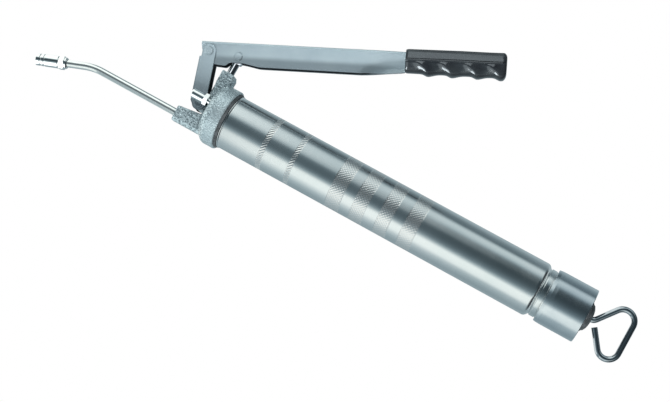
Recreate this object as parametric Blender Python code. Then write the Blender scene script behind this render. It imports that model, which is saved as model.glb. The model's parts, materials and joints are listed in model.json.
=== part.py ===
"""Lever-action hand grease gun: pump head, lever linkage, barrel with spring-loaded follower,
outlet tube and hydraulic coupler, each piece its own closed solid.

The part's frame, in metres: the origin is below the middle of the gun, level with its lowest
point. +X runs along the barrel to the follower's handle, +Z points from the barrel to the lever,
and +Y completes the right-handed frame. Every dimension below is measured from the front lip of
the barrel, on the barrel's axis: the empty "barrel_axis" stands there, and all pieces hang on it.
The lever is modelled half open, the follower fully home.
"""

import math

import bmesh
import bpy
from mathutils import Matrix, Vector

MM = 0.001
GAP = 0.3 * MM  # left between neighbouring pieces
FINE = 40  # sides of the large round pieces
MEDIUM = 20  # sides of pieces 10 to 20 mm across
COARSE = 14  # sides of pins, balls and thin rods
BARREL_LIP = (-116.8 * MM, 0, 44.3 * MM)  # from the part's origin

# Barrel and end cap
BARREL_R = 28 * MM
SHEET = 1.1 * MM  # leaves a 53.8 mm bore for a 53.5 mm cartridge
BARREL_SHOULDER_X = 350 * MM
BARREL_REAR_NECK_R = 25 * MM
THREAD_R = 27.9 * MM
THREAD_DEPTH = 0.6 * MM
LIP_HEIGHT = 0.6 * MM  # the rolled bead that presses on the gasket
THREAD_START_X = -13 * MM
CAP_FRONT_X = 357.4 * MM
CAP_REAR_X = 399.2 * MM
CAP_HOLE_R = 8 * MM

# Pump head
RING_R = 31.75 * MM
RING_REAR_X = -3 * MM
RING_FRONT_X = -15 * MM
DOME_X = -26 * MM
BLOCK_HALF_WIDTH = 8.3 * MM
BLOCK_TOP_Z = 42.6 * MM
BLOCK_FRONT_X = -32.4 * MM
BLOCK_REAR_X = -16.6 * MM
LUG_HALF_WIDTH = 6.4 * MM
BOSS_FRONT_X = -53.5 * MM
BOSS_HALF_WIDTH = 8 * MM
OUTLET_Z = -17.8 * MM
VALVE_SEAT_X = -34.2 * MM

# Lever linkage: the link stands on the head's lug, the lever hangs on the link's top
LINK_FOOT = Vector((-37.0 * MM, 0, 1.0 * MM))
LINK_LENGTH = 54.5 * MM
LINK_LEAN = math.radians(18.5)
LINK_HALF_WIDTH = 8.5 * MM
LINK_SHEET = 1.8 * MM
LINK_CHEEK = 6.9 * MM
LEVER_ANGLE = math.radians(24.9)
LEVER_HALF_WIDTH = 6.4 * MM
LEVER_SHEET = 2 * MM
LEVER_PIN_IN = 8.0 * MM
LEVER_PIN_DOWN = 10.1 * MM
PUMP_PIN_IN = 37.95 * MM
PUMP_PIN_DOWN = 14.2 * MM
PIN_R = 2.5 * MM
PIN_HEAD_R = 4.4 * MM

# Grip, measured along the lever from the lever's front end
GRIP_START = 206.8 * MM
GRIP_END = 307.2 * MM
GRIP_HALF_WIDTH = 10.5 * MM
TANG_END = 292 * MM

# Plunger
PLUNGER_R = 4 * MM
PLUNGER_FOOT_Z = -0.5 * MM

# Outlet tube and coupler
TUBE_R = 4 * MM
TUBE_BORE_R = 2.2 * MM
TUBE_BEND = math.radians(20)
TUBE_BEND_R = 60 * MM
TUBE_BEND_CORNER_X = -154 * MM
COUPLER_REAR_OUT = 28 * MM  # from the bend's corner, along the bent leg
COUPLER_LENGTH = 33.4 * MM

# Filler fitting on the near side of the head
LOADER_Y = -18 * MM
LOADER_Z = 6.6 * MM

# Follower
ROD_R = 3 * MM
PISTON_R = 26.5 * MM
PISTON_FRONT_X = 4 * MM
WASHER_THICKNESS = 1.5 * MM
SPRING_R = 20 * MM
SPRING_WIRE_R = 1.1 * MM
SPRING_REAR_X = 396.8 * MM
SPRING_TURNS = 18

X_AXIS = Vector((1, 0, 0))
Y_AXIS = Vector((0, 1, 0))
Z_AXIS = Vector((0, 0, 1))


def clear_scene():
    for obj in list(bpy.data.objects):
        bpy.data.objects.remove(obj, do_unlink=True)


def make_material(name, colour, roughness, metallic):
    material = bpy.data.materials.new(name)
    material.use_nodes = True
    shader = material.node_tree.nodes["Principled BSDF"]
    shader.inputs["Base Color"].default_value = (*colour, 1)
    shader.inputs["Roughness"].default_value = roughness
    shader.inputs["Metallic"].default_value = metallic
    material.diffuse_color = (*colour, 1)
    return material


def make_materials():
    finishes = {
        "hammered_paint": ((0.30, 0.36, 0.40), 0.45, 0.35),
        "lever_paint": ((0.36, 0.44, 0.48), 0.40, 0.35),
        "brushed_steel": ((0.55, 0.60, 0.62), 0.30, 1.0),
        "chrome": ((0.85, 0.87, 0.88), 0.08, 1.0),
        "zinc": ((0.70, 0.72, 0.70), 0.25, 1.0),
        "spring_steel": ((0.35, 0.35, 0.36), 0.35, 1.0),
        "black_plastic": ((0.02, 0.02, 0.022), 0.15, 0.0),
        "black_rubber": ((0.025, 0.025, 0.025), 0.60, 0.0),
    }
    return {name: make_material(name, *values) for name, values in finishes.items()}


def barrel_axis():
    return bpy.data.objects.get("barrel_axis")


def empty_at(name, location, lean=0.0):
    """A joint's pivot: its local X leans up from the barrel's axis by the given angle."""
    parent = barrel_axis()
    pivot = bpy.data.objects.new(name, None)
    pivot.parent = parent
    pivot.location = location
    pivot.rotation_euler = (0, -lean, 0)
    bpy.context.collection.objects.link(pivot)
    return pivot


def add_object(name, bm, material=None, parent=None):
    """Turns a bmesh into an object whose faces point out, with its origin at its parent's."""
    bmesh.ops.remove_doubles(bm, verts=bm.verts, dist=0.002 * MM)
    bmesh.ops.recalc_face_normals(bm, faces=bm.faces)
    mesh = bpy.data.meshes.new(name)
    bm.to_mesh(mesh)
    bm.free()
    mesh.shade_smooth()
    mesh.set_sharp_from_angle(angle=math.radians(35))
    obj = bpy.data.objects.new(name, mesh)
    bpy.context.collection.objects.link(obj)
    obj.parent = parent or barrel_axis()
    if material:
        mesh.materials.append(material)
    else:
        obj.hide_render = True
        obj.display_type = "WIRE"
    return obj


def combine(obj, other, operation):
    modifier = obj.modifiers.new(other.name, "BOOLEAN")
    modifier.operation = operation
    modifier.object = other
    modifier.solver = "EXACT"


def cut(obj, *cutters):
    for cutter in cutters:
        combine(obj, cutter, "DIFFERENCE")


def unite(obj, *others):
    for other in others:
        combine(obj, other, "UNION")


# Shapes


def turned(profile, sides, centre=(0, 0, 0), axis=X_AXIS):
    """A body of revolution. The profile holds (place along the axis, radius) pairs. It starts
    and ends on the axis, or goes round a hollow as a closed loop that stays off the axis."""
    bm = bmesh.new()
    closed_loop = min(radius for _, radius in profile) > 0
    points = [bm.verts.new((along, 0, radius)) for along, radius in profile]
    edges = [bm.edges.new(pair) for pair in zip(points, points[1:])]
    if closed_loop:
        edges.append(bm.edges.new((points[-1], points[0])))
    bmesh.ops.spin(
        bm, geom=points + edges, axis=X_AXIS, cent=(0, 0, 0),
        angle=math.tau, steps=sides, use_merge=True,
    )
    bmesh.ops.remove_doubles(bm, verts=bm.verts, dist=0.002 * MM)
    turn = X_AXIS.rotation_difference(Vector(axis)).to_matrix().to_4x4()
    bm.transform(Matrix.Translation(Vector(centre)) @ turn)
    return bm


def rod(start, end, radius, sides, axis=X_AXIS, centre=(0, 0, 0), chamfer=0.0):
    """A solid round bar along the axis, with its ends broken by a chamfer if one is given."""
    profile = [(start, 0), (start, radius - chamfer)]
    if chamfer:
        profile += [(start + chamfer, radius), (end - chamfer, radius)]
        profile.append((end, radius - chamfer))
    else:
        profile.append((end, radius))
    profile.append((end, 0))
    return turned(profile, sides, centre, axis)


def arc(centre, radius, start_deg, end_deg, steps):
    """Points of a circular arc in the XZ plane, angles from +X towards +Z."""
    points = []
    for step in range(steps + 1):
        angle = math.radians(start_deg + (end_deg - start_deg) * step / steps)
        points.append((centre[0] + radius * math.cos(angle), centre[1] + radius * math.sin(angle)))
    return points


def slab(outline, low, high):
    """An outline in the XZ plane, given depth along Y."""
    bm = bmesh.new()
    face = bm.faces.new([bm.verts.new((x, low, z)) for x, z in outline])
    grown = bmesh.ops.extrude_face_region(bm, geom=[face])["geom"]
    moved = [item for item in grown if isinstance(item, bmesh.types.BMVert)]
    bmesh.ops.translate(bm, verts=moved, vec=(0, high - low, 0))
    return bm


def box(x, y, z):
    return slab([(x[0], z[0]), (x[1], z[0]), (x[1], z[1]), (x[0], z[1])], y[0], y[1])


def loft(first, last, low, high):
    """A bar along X between two outlines in the YZ plane that have the same number of points."""
    bm = bmesh.new()
    ends = []
    for x, outline in ((low, first), (high, last)):
        ends.append([bm.verts.new((x, y, z)) for y, z in outline])
        bm.faces.new(ends[-1])
    edges = [bm.edges.get((end[k - 1], end[k])) for end in ends for k in range(len(end))]
    bmesh.ops.bridge_loops(bm, edges=edges)
    return bm


def hexagon(across_flats, start, end):
    corner = across_flats / 2 / math.cos(math.pi / 6)
    outline = [(corner * math.cos(k * math.pi / 3), corner * math.sin(k * math.pi / 3)) for k in range(6)]
    return loft(outline, outline, start, end)


def rounded_path(corners, steps):
    """A polyline through (x, z, bend radius) corners, each bend a true arc."""
    path = [Vector((corners[0][0], 0, corners[0][1]))]
    for before, corner, after in zip(corners, corners[1:], corners[2:]):
        here = Vector((corner[0], 0, corner[1]))
        back = (Vector((before[0], 0, before[1])) - here).normalized()
        ahead = (Vector((after[0], 0, after[1])) - here).normalized()
        half = back.angle(ahead) / 2
        centre = here + (back + ahead).normalized() * corner[2] / math.sin(half)
        reach = corner[2] / math.tan(half)
        first = here + back * reach - centre
        last = here + ahead * reach - centre
        sweep = first.angle(last)
        for step in range(steps + 1):
            share = step / steps
            spoke = (first * math.sin((1 - share) * sweep) + last * math.sin(share * sweep)) / math.sin(sweep)
            path.append(centre + spoke)
    path.append(Vector((corners[-1][0], 0, corners[-1][1])))
    return path


def swept(path, radii, sides):
    """A round bar along a path, or a tube if two radii are given, outer first."""
    bm = bmesh.new()
    walls = []
    for radius in radii:
        rings = []
        side = None
        for index, point in enumerate(path):
            ahead = path[min(index + 1, len(path) - 1)]
            behind = path[max(index - 1, 0)]
            tangent = (ahead - behind).normalized()
            if side is None:
                side = tangent.orthogonal().normalized()
            side = (side - tangent * side.dot(tangent)).normalized()
            other = tangent.cross(side)
            ring = []
            for k in range(sides):
                angle = math.tau * k / sides
                ring.append(bm.verts.new(point + radius * (side * math.cos(angle) + other * math.sin(angle))))
            rings.append(ring)
        for ring, following in zip(rings, rings[1:]):
            for k in range(sides):
                bm.faces.new((ring[k - 1], ring[k], following[k], following[k - 1]))
        walls.append(rings)
    for end in (0, -1):
        if len(walls) == 1:
            bm.faces.new(walls[0][end])
            continue
        outer, inner = walls[0][end], walls[1][end]
        for k in range(sides):
            bm.faces.new((outer[k - 1], outer[k], inner[k], inner[k - 1]))
    return bm


def coil(start, end, radius, wire, turns, steps_per_turn, sides):
    """A compression spring along X with closed end turns."""
    count = turns * steps_per_turn
    closed = steps_per_turn
    path = []
    for step in range(count + 1):
        angle = math.tau * step / steps_per_turn
        middle = (step - closed / 2) / (count - closed)
        eased = min(max(middle, 0), 1)
        run_in = min(step / closed, 1) * 0.5 + max(step - (count - closed), 0) / closed * 0.5
        along = start + wire + run_in * 2.4 * wire + (end - start - 2 * wire - 2.4 * wire) * eased
        path.append(Vector((along, radius * math.cos(angle), radius * math.sin(angle))))
    return swept(path, (wire,), sides)


def riveted_pin(name, reach, head_r, head_thickness, material, parent, location):
    """A pin across the linkage along Y, with a low domed head at each end."""
    dome = head_r * 0.75
    profile = [
        (-reach - head_thickness, 0), (-reach - head_thickness, dome),
        (-reach - head_thickness * 0.4, head_r), (-reach, head_r), (-reach, PIN_R),
        (reach, PIN_R), (reach, head_r), (reach + head_thickness * 0.4, head_r),
        (reach + head_thickness, dome), (reach + head_thickness, 0),
    ]
    return add_object(name, turned(profile, COARSE, location, Y_AXIS), material, parent)


# Barrel group


def build_barrel(mats):
    inner = BARREL_R - SHEET
    thread_root = THREAD_R - THREAD_DEPTH
    profile = [(THREAD_START_X, thread_root)]
    ridge = 3 * MM
    for turn in range(3):
        crest = THREAD_START_X + (0.7 + turn) * ridge
        profile += [(crest, THREAD_R), (crest + ridge / 2, thread_root)]
    profile += [
        (0.0, thread_root), (0.0, BARREL_R + LIP_HEIGHT / 2), (0.5 * MM, BARREL_R + LIP_HEIGHT),
        (1.4 * MM, BARREL_R + LIP_HEIGHT), (2.2 * MM, BARREL_R),
        (BARREL_SHOULDER_X - 2.5 * MM, BARREL_R), (BARREL_SHOULDER_X - 0.7 * MM, BARREL_R - 0.7 * MM),
        (BARREL_SHOULDER_X, BARREL_R - 2.4 * MM), (BARREL_SHOULDER_X + 0.8 * MM, BARREL_REAR_NECK_R),
        (CAP_FRONT_X + 16 * MM, BARREL_REAR_NECK_R), (CAP_FRONT_X + 16 * MM, BARREL_REAR_NECK_R - SHEET),
        (BARREL_SHOULDER_X, BARREL_REAR_NECK_R - SHEET), (BARREL_SHOULDER_X - 2.5 * MM, inner),
        (THREAD_START_X, inner),
    ]
    add_object("barrel_tube", turned(profile, FINE), mats["brushed_steel"])

    cap_inner = BARREL_REAR_NECK_R + GAP
    end_wall = CAP_REAR_X - 2 * MM
    profile = [
        (CAP_FRONT_X, cap_inner), (CAP_FRONT_X, cap_inner + 0.9 * MM),
        (CAP_FRONT_X + 1.6 * MM, cap_inner + 1.9 * MM), (CAP_FRONT_X + 5 * MM, BARREL_R),
        (CAP_REAR_X - 0.8 * MM, BARREL_R), (CAP_REAR_X, BARREL_R - 0.8 * MM),
        (CAP_REAR_X, CAP_HOLE_R), (end_wall, CAP_HOLE_R), (end_wall, cap_inner),
    ]
    add_object("end_cap", turned(profile, FINE), mats["brushed_steel"])

    seal = [
        (RING_REAR_X + 0.2 * MM, 30.4 * MM), (-0.25 * MM, 30.4 * MM),
        (-0.25 * MM, THREAD_R + GAP), (RING_REAR_X + 0.2 * MM, THREAD_R + GAP),
    ]
    add_object("barrel_gasket", turned(seal, FINE), mats["black_rubber"])

    groove = CAP_HOLE_R - GAP
    inside = end_wall - GAP
    outside = CAP_REAR_X + GAP
    gland = [
        (inside - 1.4 * MM, groove + 1.5 * MM), (inside, groove + 1.5 * MM), (inside, groove),
        (outside, groove), (outside, 15.5 * MM), (outside + 1.4 * MM, 15.5 * MM),
        (outside + 3.0 * MM, 13.4 * MM), (outside + 5.2 * MM, 9.5 * MM), (outside + 6.2 * MM, 6 * MM),
        (outside + 6.2 * MM, ROD_R + 0.35 * MM), (inside - 1.4 * MM, ROD_R + 0.35 * MM),
    ]
    add_object("rod_gland", turned(gland, MEDIUM), mats["black_plastic"])


# Follower group


def build_follower(mats):
    front_wall = PISTON_FRONT_X + 4 * MM
    hole = ROD_R + GAP
    cup = [
        (PISTON_FRONT_X, hole), (PISTON_FRONT_X, PISTON_R - 5 * MM),
        (PISTON_FRONT_X + 1.5 * MM, PISTON_R - 1.5 * MM), (front_wall, PISTON_R - 0.7 * MM),
        (front_wall + 16 * MM, PISTON_R), (front_wall + 16 * MM, PISTON_R - 1.6 * MM),
        (front_wall + 2 * MM, PISTON_R - 3.2 * MM), (front_wall, PISTON_R - 3.6 * MM), (front_wall, hole),
    ]
    add_object("follower_cup", turned(cup, FINE), mats["black_rubber"])
    washers = (
        ("follower_front_washer", PISTON_FRONT_X - GAP - WASHER_THICKNESS, 18 * MM),
        ("follower_rear_washer", front_wall + GAP, 21.9 * MM),
    )
    for name, start, radius in washers:
        end = start + WASHER_THICKNESS
        plate = [(start, hole), (start, radius), (end, radius), (end, hole)]
        add_object(name, turned(plate, MEDIUM), mats["zinc"])
    spring_front = front_wall + 2 * GAP + WASHER_THICKNESS
    spring = coil(spring_front, SPRING_REAR_X, SPRING_R, SPRING_WIRE_R, SPRING_TURNS, 8, 5)
    add_object("follower_spring", spring, mats["spring_steel"])

    # One wire: straight through the gland, then bent round into the pull handle
    handle = [
        (-5 * MM, 0), (408.1 * MM, 0, 7 * MM), (444.2 * MM, 46.0 * MM, 11 * MM),
        (444.2 * MM, -47.9 * MM, 10.5 * MM), (412.2 * MM, -7.3 * MM),
    ]
    wire = add_object("follower_rod", swept(rounded_path(handle, 6), (ROD_R,), 12), mats["chrome"])
    collar = front_wall + 2 * GAP + WASHER_THICKNESS
    stop_profile = [(collar, 0), (collar, 5.5 * MM), (collar + 2 * MM, 5.5 * MM), (collar + 2 * MM, 0)]
    stop = turned(stop_profile, COARSE)
    unite(wire, add_object("rod_collar_form", stop))

    nut_start = PISTON_FRONT_X - 2 * GAP - WASHER_THICKNESS
    nut = add_object("follower_nut", hexagon(10 * MM, nut_start - 5 * MM, nut_start), mats["zinc"])
    cut(nut, add_object("nut_hole_form", rod(-15 * MM, 5 * MM, hole, COARSE)))


# Pump head


def boss_section(top):
    """The outlet boss's outline in the YZ plane, its lower edges chamfered."""
    low, chamfer, round_off = -26.0 * MM, 3 * MM, 1.4 * MM
    wide = BOSS_HALF_WIDTH
    return [
        (-wide, top - round_off), (-wide, low + chamfer), (-wide + chamfer, low), (wide - chamfer, low),
        (wide, low + chamfer), (wide, top - round_off), (wide - round_off, top), (-wide + round_off, top),
    ]


def build_head(mats):
    thread_bore = THREAD_R + 0.5 * MM
    cup = turned(
        [
            (DOME_X, 0), (DOME_X, 8 * MM), (-24.8 * MM, 18 * MM), (-21.4 * MM, 26.5 * MM),
            (-17.6 * MM, 30.6 * MM), (RING_FRONT_X, RING_R), (RING_REAR_X - 1 * MM, RING_R),
            (RING_REAR_X, RING_R - 0.8 * MM),
            (RING_REAR_X, thread_bore), (-14 * MM, thread_bore), (-14 * MM, 22 * MM),
            (-18.5 * MM, 14 * MM), (-18.5 * MM, 0),
        ],
        FINE,
    )
    head = add_object("head_casting", cup, mats["hammered_paint"])

    block = [
        (BLOCK_FRONT_X, -4 * MM), (-21 * MM, -4 * MM), (-19 * MM, 24 * MM), (BLOCK_REAR_X, 30 * MM),
        (BLOCK_REAR_X, 38.5 * MM), (-19.4 * MM, BLOCK_TOP_Z), (BLOCK_FRONT_X, BLOCK_TOP_Z),
    ]
    lug = [(-20 * MM, 13 * MM), (-20 * MM, -9 * MM)] + arc((LINK_FOOT.x, LINK_FOOT.z), 5.5 * MM, 250, 105, 8)
    lug += [(BLOCK_FRONT_X + 0.6 * MM, 15 * MM)]
    boss_ends = [boss_section(top) for top in (-10.6 * MM, -6.0 * MM)]
    unite(
        head,
        add_object("block_form", slab(block, -BLOCK_HALF_WIDTH, BLOCK_HALF_WIDTH)),
        add_object("lug_form", slab(lug, -LUG_HALF_WIDTH, LUG_HALF_WIDTH)),
        add_object("boss_form", loft(*boss_ends, BOSS_FRONT_X, -18 * MM)),
    )

    pump_x = pump_axis_x()
    cheek_room = 9.2 * MM
    pocket = arc((LINK_FOOT.x, LINK_FOOT.z), cheek_room, -90, 20, 6)
    clear_of_block = -60 * MM
    pocket += [(-29.6 * MM, 12 * MM), (-32.7 * MM, 31 * MM), (clear_of_block, 31 * MM)]
    pocket.append((clear_of_block, LINK_FOOT.z - cheek_room))
    bore, bore_floor, bore_mouth = PLUNGER_R + 0.2 * MM, -11 * MM, BLOCK_TOP_Z + 2.4 * MM
    seal_low, seal_high, seal_r = 37.2 * MM, 40.2 * MM, 5.6 * MM
    stepped_bore = [
        (OUTLET_Z - 1.2 * MM, 0), (OUTLET_Z - 1.2 * MM, 2.6 * MM), (bore_floor, 2.6 * MM), (bore_floor, bore),
        (seal_low, bore), (seal_low, seal_r), (seal_high, seal_r), (seal_high, bore), (bore_mouth, bore),
        (bore_mouth, 0),
    ]
    tube_socket, seat_r, passage_end = TUBE_R + GAP, 2.3 * MM, -24.3 * MM
    outlet = [
        (BOSS_FRONT_X - 4.5 * MM, 0), (BOSS_FRONT_X - 4.5 * MM, tube_socket), (VALVE_SEAT_X, tube_socket),
        (VALVE_SEAT_X, seat_r), (passage_end, seat_r), (passage_end, 0),
    ]
    loader_centre = (0, LOADER_Y, LOADER_Z)
    cut(
        head,
        add_object("near_pocket_form", slab(pocket, -14 * MM, -LUG_HALF_WIDTH)),
        add_object("far_pocket_form", slab(pocket, LUG_HALF_WIDTH, 14 * MM)),
        add_object("pump_bore_form", turned(stepped_bore, 16, (pump_x, 0, 0), Z_AXIS)),
        add_object("inlet_form", rod(-22.6 * MM, -12 * MM, 2.4 * MM, 10, X_AXIS, (0, 0, 8 * MM))),
        add_object("outlet_form", turned(outlet, COARSE, (0, 0, OUTLET_Z))),
        add_object(
            "loader_port_form",
            rod(DOME_X - 2 * MM, -12 * MM, 3.3 * MM, COARSE, X_AXIS, loader_centre),
        ),
        add_object("foot_pin_form", rod(-12 * MM, 12 * MM, PIN_R + GAP, COARSE, Y_AXIS, LINK_FOOT)),
    )

    ring = [
        (seal_low + GAP, PLUNGER_R + 0.1 * MM), (seal_high - GAP, PLUNGER_R + 0.1 * MM),
        (seal_high - GAP, seal_r - GAP), (seal_low + GAP, seal_r - GAP),
    ]
    add_object("plunger_seal", turned(ring, MEDIUM, (pump_x, 0, 0), Z_AXIS), mats["black_rubber"])


def build_outlet_valve(mats):
    ball_r, spring_front_x = 3 * MM, -45.4 * MM
    ball_x = VALVE_SEAT_X - 2.25 * MM
    ball = bmesh.new()
    bmesh.ops.create_uvsphere(ball, u_segments=14, v_segments=10, radius=ball_r)
    pivot = empty_at("outlet_ball_centre", (ball_x, 0, OUTLET_Z))
    add_object("outlet_valve_ball", ball, mats["chrome"], pivot)
    spring = coil(spring_front_x, ball_x - ball_r - 0.2 * MM, 2.6 * MM, 0.35 * MM, 5, 8, 4)
    bmesh.ops.translate(spring, verts=spring.verts, vec=(0, 0, OUTLET_Z))
    add_object("outlet_valve_spring", spring, mats["spring_steel"])


def build_loader(mats):
    centre = (0, LOADER_Y, LOADER_Z)
    tip, collar, wall, shank_end = -45 * MM, -30.2 * MM, -26.2 * MM, -19.5 * MM
    mouth_r, bore_r, shank_r, barb_r = 1.6 * MM, 2.0 * MM, 3.0 * MM, 4.8 * MM
    seat = tip + 4 * MM
    body = [
        (tip, mouth_r), (tip, 3.6 * MM), (tip + 1.2 * MM, barb_r), (collar, barb_r), (collar, shank_r),
        (shank_end, shank_r), (shank_end, bore_r), (seat, bore_r), (seat, mouth_r),
    ]
    fitting = add_object("loader_fitting", turned(body, MEDIUM, centre), mats["chrome"])
    nut = hexagon(12 * MM, collar - 0.5 * MM, wall)
    bmesh.ops.translate(nut, verts=nut.verts, vec=centre)
    nut = add_object("loader_hex_form", nut)
    cut(nut, add_object("loader_core_form", rod(-35 * MM, -20 * MM, 2.5 * MM, COARSE, X_AXIS, centre)))
    unite(fitting, nut)
    ball_r, ball_x = 1.75 * MM, seat + 1.1 * MM
    ball = bmesh.new()
    bmesh.ops.create_uvsphere(ball, u_segments=12, v_segments=8, radius=ball_r)
    pivot = empty_at("loader_ball_centre", (ball_x, LOADER_Y, LOADER_Z))
    add_object("loader_ball", ball, mats["chrome"], pivot)
    spring = coil(ball_x + ball_r + 0.25 * MM, shank_end - 1.5 * MM, 1.3 * MM, 0.25 * MM, 6, 8, 4)
    bmesh.ops.translate(spring, verts=spring.verts, vec=centre)
    add_object("loader_spring", spring, mats["spring_steel"])


# Linkage


def link_top():
    return LINK_FOOT + Vector((-math.sin(LINK_LEAN), 0, math.cos(LINK_LEAN))) * LINK_LENGTH


def pump_pin_from_lever_pin():
    """From the lever's hinge pin to its pump pin, in the lever's own leaning frame."""
    return Vector((PUMP_PIN_IN - LEVER_PIN_IN, 0, LEVER_PIN_DOWN - PUMP_PIN_DOWN))


def pump_axis_x():
    lean = Matrix.Rotation(-LEVER_ANGLE, 3, "Y")
    return (link_top() + lean @ pump_pin_from_lever_pin()).x


def build_link(mats):
    """The link's own frame: Z from its foot pin to its head pin, X to the rear."""
    pivot = empty_at("link_pivot", LINK_FOOT, LINK_LEAN)
    web_top = 48.0 * MM
    web_out = -LINK_CHEEK - 1.2 * MM
    outline = arc((0, 0), LINK_CHEEK, 0, -168, 10)
    outline += [(web_out, 2 * MM), (web_out, web_top), (-LINK_CHEEK, web_top)]
    outline += arc((0, LINK_LENGTH), LINK_CHEEK + 0.2 * MM, 180, 0, 10)
    link = add_object("link", slab(outline, -LINK_HALF_WIDTH, LINK_HALF_WIDTH), mats["lever_paint"], pivot)
    inside = LINK_HALF_WIDTH - LINK_SHEET
    web_in = web_out + 2 * MM
    channel = [
        (web_in, -20 * MM), (20 * MM, -20 * MM), (20 * MM, 70 * MM), (web_out - 2 * MM, 70 * MM),
        (web_out - 2 * MM, web_top), (web_in, web_top - 0.01 * MM),
    ]
    cut(
        link,
        add_object("link_channel_form", slab(channel, -inside, inside), parent=pivot),
        add_object("link_foot_hole_form", rod(-12 * MM, 12 * MM, PIN_R + GAP, COARSE, Y_AXIS), parent=pivot),
        add_object(
            "link_head_hole_form",
            rod(-12 * MM, 12 * MM, PIN_R + GAP, COARSE, Y_AXIS, (0, 0, LINK_LENGTH)), parent=pivot,
        ),
    )
    foot_reach = LINK_HALF_WIDTH + GAP
    foot = [
        (-foot_reach - 1.2 * MM, 0), (-foot_reach - 1.2 * MM, 3.9 * MM), (-foot_reach, 4.6 * MM),
        (-foot_reach, PIN_R), (foot_reach + 0.35 * MM, PIN_R), (foot_reach + 0.35 * MM, 1.8 * MM),
        (foot_reach + 1.35 * MM, 1.8 * MM), (foot_reach + 1.35 * MM, PIN_R),
        (foot_reach + 2.6 * MM, PIN_R - 0.4 * MM), (foot_reach + 2.6 * MM, 0),
    ]
    add_object("link_foot_pin", turned(foot, COARSE, LINK_FOOT, Y_AXIS), mats["zinc"])
    clip = add_object("foot_pin_clip", turned(
        [(foot_reach + 0.5 * MM, 2.0 * MM), (foot_reach + 0.5 * MM, 4.6 * MM),
         (foot_reach + 1.2 * MM, 4.6 * MM), (foot_reach + 1.2 * MM, 2.0 * MM)], MEDIUM, LINK_FOOT, Y_AXIS,
    ), mats["spring_steel"])
    mouth = box((-1.6 * MM, 1.6 * MM), (foot_reach, foot_reach + 2 * MM), (0, 8 * MM))
    bmesh.ops.translate(mouth, verts=mouth.verts, vec=LINK_FOOT)
    cut(clip, add_object("clip_mouth_form", mouth))


def build_lever(mats):
    """The lever's own frame: origin on its hinge pin, X along its top edge to the grip."""
    pivot = empty_at("lever_pivot", link_top(), LEVER_ANGLE)

    def at(along, down):
        return (along - LEVER_PIN_IN, LEVER_PIN_DOWN - down)

    deep, notch, tang_low, tang_high = 24.3 * MM, 20.8 * MM, 16.5 * MM, 2.2 * MM
    outline = [
        at(0, 0), at(1 * MM, 11 * MM), at(10 * MM, 22.8 * MM), at(24.7 * MM, deep), at(29.5 * MM, notch),
        at(43 * MM, notch), at(60 * MM, deep), at(165 * MM, deep), at(186 * MM, 22 * MM),
        at(204 * MM, 20 * MM), at(206 * MM, tang_low), at(TANG_END, tang_low), at(TANG_END, tang_high),
        at(206.5 * MM, tang_high), at(204.5 * MM, 0),
    ]
    sheet = slab(outline, -LEVER_HALF_WIDTH, LEVER_HALF_WIDTH)
    lever = add_object("lever", sheet, mats["lever_paint"], pivot)
    inside = LEVER_HALF_WIDTH - LEVER_SHEET
    channel = [
        at(-5 * MM, LEVER_SHEET), at(-5 * MM, 40 * MM), at(TANG_END + 8 * MM, 40 * MM),
        at(TANG_END + 8 * MM, LEVER_SHEET + tang_high), at(206 * MM, LEVER_SHEET + tang_high),
        at(204 * MM, LEVER_SHEET),
    ]
    pump_pin = pump_pin_from_lever_pin()
    cut(
        lever,
        add_object("lever_channel_form", slab(channel, -inside, inside), parent=pivot),
        add_object("hinge_hole_form", rod(-12 * MM, 12 * MM, PIN_R + GAP, COARSE, Y_AXIS), parent=pivot),
        add_object(
            "pump_pin_hole_form",
            rod(-12 * MM, 12 * MM, PIN_R + GAP, COARSE, Y_AXIS, pump_pin), parent=pivot,
        ),
    )
    paint = mats["lever_paint"]
    riveted_pin("link_head_pin", LINK_HALF_WIDTH + GAP, PIN_HEAD_R, 0.9 * MM, paint, pivot, (0, 0, 0))
    riveted_pin("plunger_pin", LEVER_HALF_WIDTH + GAP, PIN_HEAD_R, 0.9 * MM, paint, pivot, pump_pin)

    # Moulded grip: three finger ridges below, a straight back, a flared end
    bottom = 19.0 * MM
    ridge_pitch, ridge_height, first_ridge = 24.5 * MM, 2.9 * MM, 229 * MM
    underside = [at(GRIP_START, bottom)]
    for ridge in range(3):
        crest = first_ridge + ridge * ridge_pitch
        underside += [at(crest - 7 * MM, bottom), at(crest, bottom + ridge_height)]
        underside.append(at(crest + 7 * MM, bottom - 0.3 * MM))
    underside += [at(291 * MM, bottom - 0.2 * MM), at(300 * MM, bottom + 2.7 * MM)]
    underside += [at(304 * MM, bottom + 2.7 * MM)]
    end = [at(GRIP_END, 15 * MM), at(GRIP_END, 5 * MM), at(305.5 * MM, -0.8 * MM), at(302 * MM, -2.9 * MM)]
    grip_outline = underside + end + [at(290 * MM, -2.1 * MM), at(GRIP_START, -3.0 * MM)]
    moulding = slab(grip_outline, -GRIP_HALF_WIDTH, GRIP_HALF_WIDTH)
    grip = add_object("grip", moulding, mats["black_plastic"], pivot)
    bevel = grip.modifiers.new("rounding", "BEVEL")
    bevel.width = 4.5 * MM
    bevel.segments = 2
    bevel.limit_method = "ANGLE"
    bevel.angle_limit = math.radians(70)
    room = LEVER_HALF_WIDTH + GAP
    left, right = at(GRIP_START - 5 * MM, 0)[0], at(TANG_END + GAP, 0)[0]
    high, low = at(0, tang_high - GAP)[1], at(0, tang_low + GAP)[1]
    cut(grip, add_object("grip_hollow_form", box((left, right), (-room, room), (low, high)), parent=pivot))


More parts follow.
